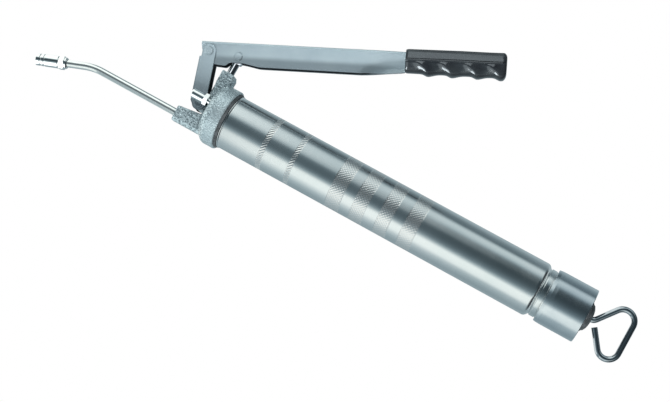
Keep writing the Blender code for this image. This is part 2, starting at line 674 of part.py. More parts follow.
def build_plunger(mats):
    """A round bar whose flat head carries an oversize window for the lever's pump pin."""
    lean = Matrix.Rotation(-LEVER_ANGLE, 3, "Y")
    pin = link_top() + lean @ pump_pin_from_lever_pin()
    centre = (pin.x, 0, 0)
    bar = [
        (PLUNGER_FOOT_Z, 0), (PLUNGER_FOOT_Z, PLUNGER_R - 0.6 * MM), (PLUNGER_FOOT_Z + 0.6 * MM, PLUNGER_R),
        (pin.z - 5 * MM, PLUNGER_R), (pin.z - 5 * MM, 0),
    ]
    pivot = empty_at("plunger_axis", (pin.x, 0, PLUNGER_FOOT_Z))
    bm = turned(bar, MEDIUM, centre, Z_AXIS)
    bmesh.ops.translate(bm, verts=bm.verts, vec=(-pin.x, 0, -PLUNGER_FOOT_Z))
    plunger = add_object("plunger", bm, mats["chrome"], pivot)
    window = ((-5.9 * MM, 3.3 * MM), (-4.9 * MM, 3.5 * MM))
    wall = 2 * MM
    head = [
        (window[0][0] - wall, window[1][0] - wall), (window[0][1] + wall, window[1][0] - wall),
        (window[0][1] + wall, window[1][1] + wall), (window[0][0] - wall, window[1][1] + wall),
    ]
    lift = pin.z - PLUNGER_FOOT_Z
    thick = LEVER_HALF_WIDTH - LEVER_SHEET - 0.4 * MM
    head_form = slab([(x, z + lift) for x, z in head], -thick, thick)
    hole = box(window[0], (-10 * MM, 10 * MM), (window[1][0] + lift, window[1][1] + lift))
    unite(plunger, add_object("plunger_head_form", head_form, parent=pivot))
    cut(plunger, add_object("plunger_window_form", hole, parent=pivot))


# Outlet


def bent_leg():
    """The direction of the tube's front leg and the corner its bend cuts off."""
    direction = Vector((-math.cos(TUBE_BEND), 0, -math.sin(TUBE_BEND)))
    return direction, Vector((TUBE_BEND_CORNER_X, 0, OUTLET_Z))


def build_outlet(mats):
    direction, corner = bent_leg()
    rear = corner + direction * COUPLER_REAR_OUT
    tube_end = rear + direction * 6.6 * MM
    corners = [(-45.8 * MM, OUTLET_Z), (corner.x, corner.z, TUBE_BEND_R), (tube_end.x, tube_end.z)]
    add_object("outlet_tube", swept(rounded_path(corners, 6), (TUBE_R, TUBE_BORE_R), COARSE), mats["zinc"])

    # The coupler's own frame: origin at its rear face, X towards the gun
    pivot = empty_at("coupler_axis", rear, TUBE_BEND)
    length = COUPLER_LENGTH
    spigot_end = -18.5 * MM
    body = [
        (0, TUBE_R + GAP), (0, 5.0 * MM), (-1.2 * MM, 5.9 * MM), (-8.2 * MM, 5.9 * MM),
        (-8.8 * MM, 5.9 * MM), (-8.8 * MM, 4.7 * MM), (spigot_end, 4.7 * MM), (spigot_end, 3.4 * MM),
        (-9.5 * MM, 3.4 * MM), (-9.5 * MM, 1.4 * MM), (-7.3 * MM, 1.4 * MM), (-7.3 * MM, TUBE_R + GAP),
    ]
    coupler = add_object("coupler_body", turned(body, MEDIUM), mats["chrome"], pivot)
    hex_nut = add_object("coupler_hex_form", hexagon(13 * MM, -8.6 * MM, -2.9 * MM), parent=pivot)
    cut(hex_nut, add_object("coupler_core_form", rod(-30 * MM, 5 * MM, 5.4 * MM, MEDIUM), parent=pivot))
    unite(coupler, hex_nut)

    groove, nose, shell = 5.7 * MM, 6.15 * MM, 6.4 * MM
    sleeve_rear = -9.1 * MM
    outer = [
        (sleeve_rear, shell - 0.6 * MM), (sleeve_rear - 0.6 * MM, shell),
        (-23.4 * MM, shell), (-23.8 * MM, groove), (-24.5 * MM, groove), (-24.9 * MM, nose),
        (-27.1 * MM, nose), (-27.5 * MM, groove), (-28.7 * MM, groove),
        (-29.1 * MM, nose), (-length + 0.7 * MM, nose), (-length, nose - 0.7 * MM),
    ]
    inner = [(-length, 4.2 * MM), (-30 * MM, 4.9 * MM), (-20 * MM, 5.1 * MM), (sleeve_rear, 5.0 * MM)]
    add_object("coupler_sleeve", turned(outer + inner, MEDIUM), mats["chrome"], pivot)

    jaws_rear = spigot_end - GAP
    jaws = [
        (-length + 0.5 * MM, 3.4 * MM), (-length + 0.5 * MM, 3.8 * MM),
        (-30 * MM, 4.5 * MM), (-24 * MM, 4.7 * MM),
        (jaws_rear, 4.7 * MM), (jaws_rear, 3.7 * MM), (-29 * MM, 3.5 * MM),
    ]
    collet = add_object("coupler_jaws", turned(jaws, MEDIUM), mats["zinc"], pivot)
    for quarter in range(2):
        slit = box((-length - 2 * MM, -22 * MM), (-0.35 * MM, 0.35 * MM), (-8 * MM, 8 * MM))
        turn = Matrix.Rotation(math.radians(45 + 90 * quarter), 3, "X")
        bmesh.ops.rotate(slit, verts=slit.verts, matrix=turn)
        cut(collet, add_object(f"jaw_slit_form_{quarter + 1}", slit, parent=pivot))
    seal = [
        (-27 * MM, 1.2 * MM), (-27 * MM, 2.6 * MM), (-26 * MM, 3.2 * MM), (-20.2 * MM, 3.2 * MM),
        (-20.2 * MM, 1.2 * MM),
    ]
    add_object("coupler_seal", turned(seal, COARSE), mats["black_rubber"], pivot)
    spring = coil(-20 * MM, -9.8 * MM, 2.5 * MM, 0.4 * MM, 5, 8, 4)
    add_object("coupler_spring", spring, mats["spring_steel"], pivot)


def build():
    clear_scene()
    empty_at("barrel_axis", BARREL_LIP)
    mats = make_materials()
    build_head(mats)
    build_outlet_valve(mats)
    build_loader(mats)
    build_outlet(mats)
    build_link(mats)
    build_lever(mats)
    build_plunger(mats)
    build_barrel(mats)
    build_follower(mats)


build()
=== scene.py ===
"""Looks for the lever grease gun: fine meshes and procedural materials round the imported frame.

Pieces are drawn in millimetres in the gun's own terms: X along the barrel from its front lip to the
pull handle, Z from the barrel up to the lever, Y across. place() turns that into the part's frame.
"""

import json
import math

import bmesh
import bpy
import numpy as np
from mathutils import Matrix, Vector


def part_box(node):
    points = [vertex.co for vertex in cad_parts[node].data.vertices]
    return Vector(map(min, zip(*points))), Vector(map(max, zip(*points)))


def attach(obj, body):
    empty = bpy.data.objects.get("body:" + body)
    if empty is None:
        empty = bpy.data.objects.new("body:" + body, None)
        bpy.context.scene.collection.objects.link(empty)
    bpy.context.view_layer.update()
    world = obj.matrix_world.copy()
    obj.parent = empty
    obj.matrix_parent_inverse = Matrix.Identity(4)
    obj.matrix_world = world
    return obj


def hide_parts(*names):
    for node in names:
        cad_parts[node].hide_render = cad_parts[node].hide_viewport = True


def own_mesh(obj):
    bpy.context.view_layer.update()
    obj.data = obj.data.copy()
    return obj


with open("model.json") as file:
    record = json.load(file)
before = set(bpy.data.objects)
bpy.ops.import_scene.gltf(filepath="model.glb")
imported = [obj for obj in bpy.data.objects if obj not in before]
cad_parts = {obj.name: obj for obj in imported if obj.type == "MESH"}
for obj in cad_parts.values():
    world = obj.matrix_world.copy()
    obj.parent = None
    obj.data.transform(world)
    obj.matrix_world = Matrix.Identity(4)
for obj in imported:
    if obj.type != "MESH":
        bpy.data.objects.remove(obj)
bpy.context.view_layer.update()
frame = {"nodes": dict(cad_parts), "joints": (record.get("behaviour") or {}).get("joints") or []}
JOINTS = {joint["name"]: joint for joint in frame["joints"]}

MM = 0.001
GASKET_CLEARANCE = 0.25  # the gasket's rear face stands this far ahead of the barrel's lip
gasket_low, gasket_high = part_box("barrel_gasket")
LIP = Vector((gasket_high.x + GASKET_CLEARANCE * MM, 0, (gasket_low.z + gasket_high.z) / 2))


def in_gun(point):
    """A point of the part's frame, in the gun's millimetres."""
    return (Vector(point) - LIP) / MM


def in_frame(point):
    """A point in the gun's millimetres, in the part's frame."""
    return LIP + Vector(point) * MM


FOOT = in_gun(JOINTS["link_swing"]["pos_m"])
HEAD_PIN = in_gun(JOINTS["lever_hinge"]["pos_m"])
COUPLER_REAR = in_gun(JOINTS["coupler_sleeve_turn"]["pos_m"])
COUPLER_DIRECTION = Vector(JOINTS["coupler_sleeve_turn"]["axis"]).normalized()

BARREL_R = 28.0
LINK_LENGTH = (HEAD_PIN - FOOT).length
LINK_LEAN = math.atan2(FOOT.x - HEAD_PIN.x, HEAD_PIN.z - FOOT.z)
LEVER_ANGLE = math.radians(24.9)
LEVER_PIN_IN, LEVER_PIN_DOWN = 8.0, 10.1  # the link's pin, from the lever's front end and its back
PUMP_PIN_IN, PUMP_PIN_DOWN = 37.95, 14.2
PUMP_PIN = Vector((PUMP_PIN_IN - LEVER_PIN_IN, 0, LEVER_PIN_DOWN - PUMP_PIN_DOWN))  # from the link's pin
PIN_R, PIN_HOLE_R = 2.5, 2.8
TUBE_BEND = math.radians(20)
OUTLET_Z = -17.8
OUTLET_SEAT_X = -34.2
OUTLET_BALL_X = OUTLET_SEAT_X - 2.25
LOADER = Vector((0, -18.0, 6.6))

LEVER_FRAME = Matrix.Translation(HEAD_PIN) @ Matrix.Rotation(-LEVER_ANGLE, 4, "Y")
LINK_FRAME = Matrix.Translation(FOOT) @ Matrix.Rotation(-LINK_LEAN, 4, "Y")
COUPLER_FRAME = Matrix.Translation(COUPLER_REAR) @ Matrix.Rotation(-TUBE_BEND, 4, "Y")
SIDEWAYS = Matrix.Rotation(math.pi / 2, 4, "Z")  # lays a body's own X across the gun
UPRIGHT = Matrix.Rotation(-math.pi / 2, 4, "Y")  # stands a body's own X up
Z_AXIS = Vector((0, 0, 1))


# Meshes


def fillet(outline, steps=4, closed=True):
    """Rounds an outline's corners. A corner is (a, b) or (a, b, radius)."""
    rounded = []
    count = len(outline)
    for k, corner in enumerate(outline):
        here = Vector(corner[:2])
        radius = corner[2] if len(corner) > 2 else 0
        if not radius or (not closed and k in (0, count - 1)):
            rounded.append(tuple(here))
            continue
        back = Vector(outline[k - 1][:2]) - here
        ahead = Vector(outline[(k + 1) % count][:2]) - here
        half = back.angle(ahead) / 2
        reach = min(radius / math.tan(half), 0.49 * back.length, 0.49 * ahead.length)
        start, end = here + back.normalized() * reach, here + ahead.normalized() * reach
        for step in range(steps + 1):
            share = step / steps
            rounded.append(tuple(start * (1 - share) ** 2 + here * 2 * share * (1 - share) + end * share**2))
    return rounded


def bridge(bm, first, second):
    """Faces between two rings of vertices; a ring of one vertex is a point."""
    count = max(len(first), len(second))
    for k in range(count):
        if len(first) == 1:
            bm.faces.new([first[0], second[k], second[k - 1]])
        elif len(second) == 1:
            bm.faces.new([first[k - 1], first[k], second[0]])
        else:
            bm.faces.new([first[k - 1], first[k], second[k], second[k - 1]])


def skin(rings, loop=False):
    """A closed surface over rings of points: a loop joined end to end, or else capped at both ends."""
    bm = bmesh.new()
    made = [[bm.verts.new(point) for point in ring] for ring in rings]
    for first, second in zip(made, made[1:]):
        bridge(bm, first, second)
    if loop:
        bridge(bm, made[-1], made[0])
    else:
        for ring in (made[0], made[-1]):
            if len(ring) > 2:
                bm.faces.new(ring)
    bmesh.ops.recalc_face_normals(bm, faces=bm.faces)
    return bm


SUPPORT = 0.15  # extra rings this far from a corner keep its rounding off the long faces beside it


def supported(outline, closed):
    """The outline with extra points near both ends of each long run."""
    points = []
    count = len(outline)
    for k in range(count if closed else count - 1):
        here, ahead = Vector(outline[k]), Vector(outline[(k + 1) % count])
        points.append(tuple(here))
        length = (ahead - here).length
        if length > 5 * SUPPORT:
            points.append(tuple(here.lerp(ahead, SUPPORT / length)))
            points.append(tuple(here.lerp(ahead, 1 - SUPPORT / length)))
    return points if closed else points + [tuple(outline[-1])]


def circle(sides):
    """(cosine, sine) of evenly spaced directions."""
    turns = [math.tau * k / sides for k in range(sides)]
    return [(math.cos(turn), math.sin(turn)) for turn in turns]


def lathe(profile, sides, steps=4):
    """A body turned about X from (x, radius) corners, which may carry a fillet radius."""
    on_axis = min(corner[1] for corner in profile) <= 0
    outline = supported(fillet(profile, steps, closed=not on_axis), closed=not on_axis)
    rings = []
    for x, radius in outline:
        if radius <= 1e-6:
            rings.append([(x, 0, 0)])
        else:
            rings.append([(x, radius * y, radius * z) for y, z in circle(sides)])
    return skin(rings, loop=not on_axis)


def round_bar(start, end, radius):
    return lathe([(start, 0), (start, radius), (end, radius), (end, 0)], 48)


def pin_hole(centre=(0, 0, 0)):
    """The form of a pin's hole, across the gun."""
    hole = round_bar(-12, 12, PIN_HOLE_R)
    hole.transform(Matrix.Translation(centre) @ SIDEWAYS)
    return hole


def arc(centre, radius, start_deg, end_deg, steps):
    """Points round a centre from one angle to another, both ends included."""
    points = []
    for step in range(steps + 1):
        angle = math.radians(start_deg + (end_deg - start_deg) * step / steps)
        points.append((centre[0] + radius * math.cos(angle), centre[1] + radius * math.sin(angle)))
    return points


def slab(outline, low, high):
    """An outline in the XZ plane, given depth along Y."""
    return skin([[(x, y, z) for x, z in outline] for y in (low, high)])


def bar(outline, low, high):
    """An outline in the YZ plane, given length along X."""
    return skin([[(x, y, z) for y, z in outline] for x in (low, high)])


def sweep(path, radii, sides):
    """A round bar along a path, or a tube if two radii are given, outer first."""
    frames = []
    side = None
    for index, point in enumerate(path):
        ahead = path[min(index + 1, len(path) - 1)]
        behind = path[max(index - 1, 0)]
        tangent = (ahead - behind).normalized()
        if side is None:
            side = tangent.orthogonal().normalized()
        side = (side - tangent * side.dot(tangent)).normalized()
        frames.append((point, side.copy(), tangent.cross(side)))

    def ring(place, radius):
        point, one, other = place
        return [point + radius * (one * cosine + other * sine) for cosine, sine in circle(sides)]

    rings = [ring(place, radii[0]) for place in frames]
    if len(radii) > 1:
        rings += [ring(place, radii[1]) for place in reversed(frames)]
        return skin(rings, loop=True)
    return skin(rings)


def rounded_path(corners, steps):
    """A path through (x, z, bend radius) corners in the plane Y = 0, each bend a true arc."""
    path = [Vector((corners[0][0], 0, corners[0][1]))]
    for before, corner, after in zip(corners, corners[1:], corners[2:]):
        here = Vector((corner[0], 0, corner[1]))
        back = (Vector((before[0], 0, before[1])) - here).normalized()
        ahead = (Vector((after[0], 0, after[1])) - here).normalized()
        half = back.angle(ahead) / 2
        centre = here + (back + ahead).normalized() * corner[2] / math.sin(half)
        reach = corner[2] / math.tan(half)
        first, last = here + back * reach - centre, here + ahead * reach - centre
        span = first.angle(last)
        for step in range(steps + 1):
            share = step / steps
            spoke = (first * math.sin((1 - share) * span) + last * math.sin(share * span)) / math.sin(span)
            path.append(centre + spoke)
    path.append(Vector((corners[-1][0], 0, corners[-1][1])))
    return path


def coil(start, end, radius, wire, turns, steps_per_turn=20, sides=8):
    """A compression spring along X with closed end turns."""
    count = turns * steps_per_turn
    closed = 2.4 * wire  # what the two closed end turns take up together
    free = end - start - 2 * wire - closed
    path = []
    for step in range(count + 1):
        angle = math.tau * step / steps_per_turn
        eased = min(max((step - steps_per_turn / 2) / (count - steps_per_turn), 0), 1)
        run_in = min(step / steps_per_turn, 1) / 2 + max(step / steps_per_turn - turns + 1, 0) / 2
        along = start + wire + run_in * closed + free * eased
        path.append(Vector((along, radius * math.cos(angle), radius * math.sin(angle))))
    return sweep(path, (wire,), sides)


def place(bm, matrix=None):
    """Moves a mesh from its own millimetres into the part's frame, in metres."""
    if matrix is not None:
        bm.transform(matrix)
    bm.transform(Matrix.Translation(LIP) @ Matrix.Scale(MM, 4))
    return bm


def add_object(name, data):
    obj = bpy.data.objects.new(name, data)
    bpy.context.scene.collection.objects.link(obj)
    return obj


def make_object(name, bm):
    bmesh.ops.recalc_face_normals(bm, faces=bm.faces)
    mesh = bpy.data.meshes.new(name)
    bm.to_mesh(mesh)
    bm.free()
    return add_object(name, mesh)


def evaluated(obj):
    """The object's mesh with its modifiers applied, as a bmesh. The object is removed."""
    graph = bpy.context.evaluated_depsgraph_get()
    mesh = bpy.data.meshes.new_from_object(obj.evaluated_get(graph))
    bm = bmesh.new()
    bm.from_mesh(mesh)
    bpy.data.objects.remove(obj)
    return bm


def combine(base, tools, operation):
    for tool in tools:
        modifier = base.modifiers.new("combine", "BOOLEAN")
        modifier.operation = operation
        modifier.object = tool
        modifier.solver = "EXACT"


def carve(name, solids, voids=(), shared=()):
    """One body from bmeshes: solids joined, voids cut away, and kept only where the shared forms are."""
    base, *tools = [make_object(f"{name}_form_{k}", bm) for k, bm in enumerate([*solids, *voids, *shared])]
    joined, cut = len(solids) - 1, len(solids) - 1 + len(voids)
    combine(base, tools[:joined], "UNION")
    combine(base, tools[joined:cut], "DIFFERENCE")
    combine(base, tools[cut:], "INTERSECT")
    body = evaluated(base)
    for tool in tools:
        bpy.data.objects.remove(tool)
    return body


def hexagon(across_flats, start, end, bore_r, chamfer=0.6):
    """A bored hexagon nut along X whose corners are turned off at both ends."""
    flat = across_flats / 2
    corner = flat / math.cos(math.pi / 6)
    prism = bar([(corner * y, corner * z) for y, z in circle(6)], start, end)
    clear = corner + 0.05
    one_end = [(start, 0), (start, flat), (start + chamfer, clear)]
    limit = lathe(one_end + [(end - chamfer, clear), (end, flat), (end, 0)], 72)
    chamfered = carve("hexagon", [prism], shared=[limit])
    return carve("bored_hexagon", [chamfered], [round_bar(start - 10, end + 10, bore_r)])


def soften(bm, voxel, rounds=5):
    """Remeshes a body at an even grain and rounds its edges, as casting and paint do."""
    obj = make_object("softened_form", bm)
    grain = obj.modifiers.new("grain", "REMESH")
    grain.mode = "VOXEL"
    grain.voxel_size = voxel
    smooth = obj.modifiers.new("smooth", "SMOOTH")
    smooth.factor = 0.5
    smooth.iterations = rounds
    return evaluated(obj)


def piece(name, bm, material, body, node, matrix=None, sharp=40):
    """Places a form in the part's frame and lets it stand for the CAD node it details.
    """
    obj = make_object(name, place(bm, matrix))
    finish(obj, material, sharp)
    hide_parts(node)
    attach(obj, body)
    return obj


def spring_piece(name, bm, body, node, matrix=None):
    """A spring in spring steel, given its own copy of its mesh."""
    spring = piece(name, bm, "spring_steel", body, node, matrix)
    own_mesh(spring)


def finish(obj, material, sharp):
    """Smooth shading, broken at edges over the given angle, in one material."""
    obj.data.shade_smooth()
    obj.data.set_sharp_from_angle(angle=math.radians(sharp))
    obj.data.materials.clear()
    obj.data.materials.append(MATERIALS[material])


# Materials

LEVER_BACK = LIP + (LEVER_FRAME @ Vector((0, 0, LEVER_PIN_DOWN))) * MM


class Nodes:
    """A node tree, with short calls for the nodes used here."""

    def __init__(self, tree):
        self.tree = tree

    def add(self, kind, **inputs):
        node = self.tree.nodes.new(kind)
        for key, value in inputs.items():
            self.put(node.inputs[key.replace("_", " ")], value)
        return node

    def put(self, socket, value):
        """Links an output to a socket, or sets the socket to a number or a colour."""
        if isinstance(value, bpy.types.NodeSocket):
            self.tree.links.new(value, socket)
        else:
            socket.default_value = value

    def split(self, vector):
        """The outputs X, Y and Z of a vector."""
        return self.add("ShaderNodeSeparateXYZ", Vector=vector).outputs

    def remap(self, value, low, high, to_low=0.0, to_high=1.0, smooth=False):
        node = self.add("ShaderNodeMapRange", Value=value)
        if smooth:
            node.interpolation_type = "SMOOTHSTEP"
        for key, number in (("From Min", low), ("From Max", high), ("To Min", to_low), ("To Max", to_high)):
            node.inputs[key].default_value = number
        return node.outputs["Result"]

    def maths(self, operation, *values):
        node = self.tree.nodes.new("ShaderNodeMath")
        node.operation = operation
        for socket, value in zip(node.inputs, values):
            self.put(socket, value)
        return node.outputs["Value"]

    def times(self, first, second):
        return self.maths("MULTIPLY", first, second)

    def blend(self, share, first, second):
        """From the first colour to the second as the share goes from 0 to 1."""
        node = self.tree.nodes.new("ShaderNodeMix")
        node.data_type = "RGBA"
        self.put(node.inputs[0], share)
        self.put(node.inputs[6], (*first, 1) if isinstance(first, tuple) else first)
        self.put(node.inputs[7], (*second, 1) if isinstance(second, tuple) else second)
        return node.outputs[2]

    def crossfade(self, share, first, second):
        """From the first surface to the second as the share goes from 0 to 1."""
        node = self.tree.nodes.new("ShaderNodeMixShader")
        for socket, value in zip(node.inputs, (share, first.outputs[0], second.outputs[0])):
            self.put(socket, value)
        return node.outputs[0]


class Shader(Nodes):
    """A material with a Principled surface, and calls for its textures."""

    def __init__(self, name, colour, metallic, roughness):
        self.material = bpy.data.materials.new(name)
        self.material.use_nodes = True
        super().__init__(self.material.node_tree)
        self.surface = self.tree.nodes["Principled BSDF"]
        self.set(Base_Color=(*colour, 1), Metallic=metallic, Roughness=roughness)
        self.place = self.add("ShaderNodeTexCoord").outputs["Object"]

    def stretched(self, scale):
        return self.add("ShaderNodeMapping", Vector=self.place, Scale=scale).outputs["Vector"]

    def noise(self, per_metre, detail=3.0, rough=0.55, scale=(1, 1, 1)):
        vector = self.stretched(scale)
        node = self.add("ShaderNodeTexNoise", Vector=vector, Scale=per_metre, Detail=detail, Roughness=rough)
        return node.outputs["Fac"]

    def cells(self, per_metre, smooth):
        node = self.tree.nodes.new("ShaderNodeTexVoronoi")
        node.feature = "SMOOTH_F1"
        for key, value in (("Vector", self.place), ("Scale", per_metre), ("Smoothness", smooth)):
            self.put(node.inputs[key], value)
        return node.outputs["Distance"]

    def edges(self, low, high):
        """Near 1 on outward edges, where a finish wears through."""
        pointed = self.add("ShaderNodeNewGeometry").outputs["Pointiness"]
        return self.remap(pointed, low, high)

    def bump(self, height, distance_mm, strength):
        node = self.add("ShaderNodeBump", Height=height, Distance=distance_mm * MM, Strength=strength)
        return node.outputs["Normal"]

    def set(self, **inputs):
        for key, value in inputs.items():
            self.put(self.surface.inputs[key.replace("_", " ")], value)
        return self


def scaled(colour, factor):
    return tuple(factor * channel for channel in colour)


def hammered_paint():
    """Grey-blue metallic paint on a sand casting: pebbled on block and boss, finer on the turned ring."""
    s = Shader("hammered_paint", (0.3, 0.36, 0.4), 0.65, 0.3)
    pebbles = s.cells(520, 0.25)
    grit = s.noise(900, 2, 0.5)
    patches = s.noise(60, 2, 0.5)
    ring = s.remap(s.split(s.place)["X"], LIP.x - 17 * MM, LIP.x - 13 * MM)
    # The tone follows the pebbles' relief, paler on their raised rims and darker in their dimples: painted
    # highlight and painted shade over the bump.
    relief = s.maths("ADD", pebbles, s.times(grit, 0.6))
    light = s.remap(relief, 0.52, 1.0)
    dark_tone = s.blend(s.remap(patches, 0.35, 0.65), (0.08, 0.115, 0.135), (0.15, 0.195, 0.215))
    tone = s.blend(light, dark_tone, (0.5, 0.6, 0.63))
    # The turned ring gets an even tone: its smoothness is its finer finish, and its lighter tone is painted
    # light.
    even = s.blend(s.remap(patches, 0.3, 0.7), (0.38, 0.46, 0.49), (0.47, 0.55, 0.575))
    tone = s.blend(s.remap(ring, 0, 1, 0.1, 0.7), tone, even)
    worn = s.edges(0.53, 0.6)
    tone = s.blend(s.times(worn, 0.5), tone, (0.66, 0.72, 0.74))
    s.set(Base_Color=tone, Roughness=s.remap(grit, 0.3, 0.7, 0.3, 0.18))
    return s.set(Normal=s.bump(relief, 0.5, 0.8)).material


def sheet_paint(name, light, painted_shade_heights=None, painted_shade_depths=None):
    """The casting's grey-blue on pressed sheet: smoother, worn on its folds, painted shade inside the
    channel.

    light is how bright the paint is; the link's copy is set lighter than the lever's, as painted light. The
    next argument is the height range, low to high, over which painted shade darkens it towards the bottom,
    and the last the depths below the lever's back between which painted shade deepens down the cheeks.
    """
    s = Shader(name, (0.42, 0.52, 0.57), 0.65, 0.3)
    peel = s.noise(700, 3, 0.6)
    patches = s.noise(35, 3, 0.55)
    low_tone, high_tone = scaled((0.33, 0.405, 0.445), light), scaled((0.39, 0.47, 0.505), light)
    bare = (0.75, 0.8, 0.82)
    tone = s.blend(s.remap(patches, 0.3, 0.7), low_tone, high_tone)
    specks = s.remap(s.noise(1300, 2, 0.5), 0.66, 0.74)
    tone = s.blend(s.times(specks, 0.12), tone, bare)
    worn = s.edges(0.54, 0.6)
    tone = s.blend(s.times(worn, 0.2), tone, bare)
    place = s.split(s.place)
    # Painted shade: patchily darker towards the bottom of the range, on the link where it goes down into the
    # casting.
    if painted_shade_heights:
        height = s.remap(place["Z"], painted_shade_heights[1], painted_shade_heights[0])
        low_shade = s.times(height, s.remap(patches, 0.2, 0.6, 0.7, 1))
        tone = s.blend(low_shade, tone, (0.1, 0.13, 0.15))
    # Painted shade: deepening with depth below the lever's back, where the cheeks turn from the light.
    if painted_shade_depths:
        rearward = s.maths("SUBTRACT", place["X"], LEVER_BACK.x)
        downward = s.maths("SUBTRACT", LEVER_BACK.z, place["Z"])
        below = s.times(downward, math.cos(LEVER_ANGLE))
        depth = s.maths("MULTIPLY_ADD", rearward, math.sin(LEVER_ANGLE), below)
        depth_shade = s.remap(depth, painted_shade_depths[0] * MM, painted_shade_depths[1] * MM, smooth=True)
        tone = s.blend(s.times(depth_shade, 0.75), tone, (0.13, 0.165, 0.185))
    # Painted shade inside the channel: faces turned towards its middle are darkened nearly to black.
    facing = s.split(s.add("ShaderNodeNewGeometry").outputs["True Normal"])
    inward = s.times(facing["Y"], place["Y"])
    channel_shade = s.times(s.remap(inward, -0.1 * MM, -3.0 * MM), 0.9)
    tone = s.blend(channel_shade, tone, (0.02, 0.024, 0.028))
    s.set(Base_Color=tone, Roughness=s.remap(peel, 0.3, 0.7, 0.26, 0.18))
    return s.set(Normal=s.bump(peel, 0.03, 0.25)).material


def brushed_steel():
    """The barrel's bright tube, polished round its axis."""
    s = Shader("brushed_steel", (0.84, 0.86, 0.86), 1.0, 0.2)
    lines = s.noise(2600, 3, 0.6, (1, 0.04, 0.04))
    smears = s.noise(28, 3, 0.5, (1, 0.6, 0.6))
    tone = s.blend(s.remap(smears, 0.3, 0.7), (0.80, 0.83, 0.83), (0.88, 0.89, 0.89))
    rough = s.maths("ADD", s.remap(lines, 0.3, 0.7, 0.14, 0.2), s.remap(smears, 0.35, 0.7, 0.0, 0.05))
    place = s.split(s.place)
    height = s.maths("SUBTRACT", place["Z"], LIP.z)
    squares = s.maths("MULTIPLY_ADD", place["Y"], place["Y"], s.times(height, height))
    sunk = s.remap(s.maths("SQRT", squares), (BARREL_R - 0.02) * MM, (BARREL_R - 0.12) * MM)
    past_lip = s.remap(place["X"], LIP.x + 30 * MM, LIP.x + 31 * MM)
    before_neck = s.remap(place["X"], LIP.x + 231 * MM, LIP.x + 230 * MM)
    groove = s.times(sunk, s.times(past_lip, before_neck))
    tone = s.blend(groove, tone, (0.87, 0.85, 0.83))
    s.set(Base_Color=tone, Roughness=rough, Metallic=s.maths("MULTIPLY_ADD", groove, -0.06, 1.0))
    return s.set(Normal=s.bump(lines, 0.012, 0.5)).material


def cap_steel():
    """The rear cap: the same steel, duller."""
    s = Shader("cap_steel", (0.72, 0.76, 0.79), 1.0, 0.2)
    lines = s.noise(2600, 3, 0.6, (1, 0.04, 0.04))
    smears = s.noise(40, 3, 0.5)
    tone = s.blend(s.remap(smears, 0.3, 0.7), (0.64, 0.69, 0.73), (0.76, 0.8, 0.82))
    s.set(Base_Color=tone, Roughness=s.remap(lines, 0.3, 0.7, 0.14, 0.22))
    return s.set(Normal=s.bump(lines, 0.012, 0.5)).material


def plating(name, colour, metallic, roughness):
    """Bright plating with faint turning marks and handling scuffs."""
    s = Shader(name, colour, metallic, roughness)
    scuffs = s.noise(240, 5, 0.7)
    marks = s.noise(1800, 2, 0.5)
    tone = s.blend(s.remap(scuffs, 0.5, 0.75), colour, scaled(colour, 0.86))
    s.set(Base_Color=tone, Roughness=s.remap(scuffs, 0.35, 0.7, roughness * 0.75, roughness * 1.5))
    return s.set(Normal=s.bump(marks, 0.02, 0.35)).material


def grip_plastic():
    """Glossy black dipped vinyl."""
    s = Shader("black_plastic", (0.012, 0.014, 0.016), 0.0, 0.1)
    s.set(IOR=1.5, Specular_Tint=(0.85, 0.95, 1.0, 1))
    skin_grain = s.noise(420, 3, 0.5)
    smears = s.noise(45, 3, 0.6)
    tone = s.blend(s.remap(smears, 0.35, 0.7), (0.008, 0.009, 0.011), (0.016, 0.019, 0.021))
    s.set(Base_Color=tone, Roughness=s.remap(smears, 0.3, 0.7, 0.1, 0.17))
    return s.set(Normal=s.bump(skin_grain, 0.02, 0.12)).material


def rubber(name, light):
    """Matt black rubber with a dusty bloom, whose brightness light scales."""
    s = Shader(name, (0.02, 0.022, 0.024), 0.0, 0.55)
    bloom = s.noise(160, 4, 0.6)
    clean, dusty = scaled((0.03, 0.034, 0.036), light), scaled((0.075, 0.082, 0.088), light)
    tone = s.blend(s.remap(bloom, 0.4, 0.7), clean, dusty)
    s.set(Base_Color=tone, Roughness=s.remap(bloom, 0.3, 0.7, 0.42, 0.65))
    return s.set(Normal=s.bump(s.noise(1100, 3), 0.04, 0.5)).material


MATERIALS = {
    "hammered_paint": hammered_paint(),
    # Both sheet paints carry painted shade: the lever's deepens down its cheeks, the link's towards its foot.
    # The link's copy is also set lighter than the lever's, as painted light.
    "lever_paint": sheet_paint("lever_paint", 1.0, painted_shade_depths=(11.5, 18)),
    "link_paint": sheet_paint("link_paint", 1.15, painted_shade_heights=(LIP.z - 6 * MM, LIP.z + 62 * MM)),
    "brushed_steel": brushed_steel(),
    "cap_steel": cap_steel(),
    "chrome": plating("chrome", (0.95, 0.96, 0.95), 1.0, 0.07),
    "zinc": plating("zinc", (0.9, 0.92, 0.9), 0.95, 0.12),
    "dark_chrome": plating("dark_chrome", (0.5, 0.54, 0.57), 1.0, 0.09),
    "spring_steel": plating("spring_steel", (0.3, 0.31, 0.33), 1.0, 0.3),
    "black_plastic": grip_plastic(),
    "black_rubber": rubber("black_rubber", 0.3),
    "gland_rubber": rubber("gland_rubber", 1.0),
}


# Barrel

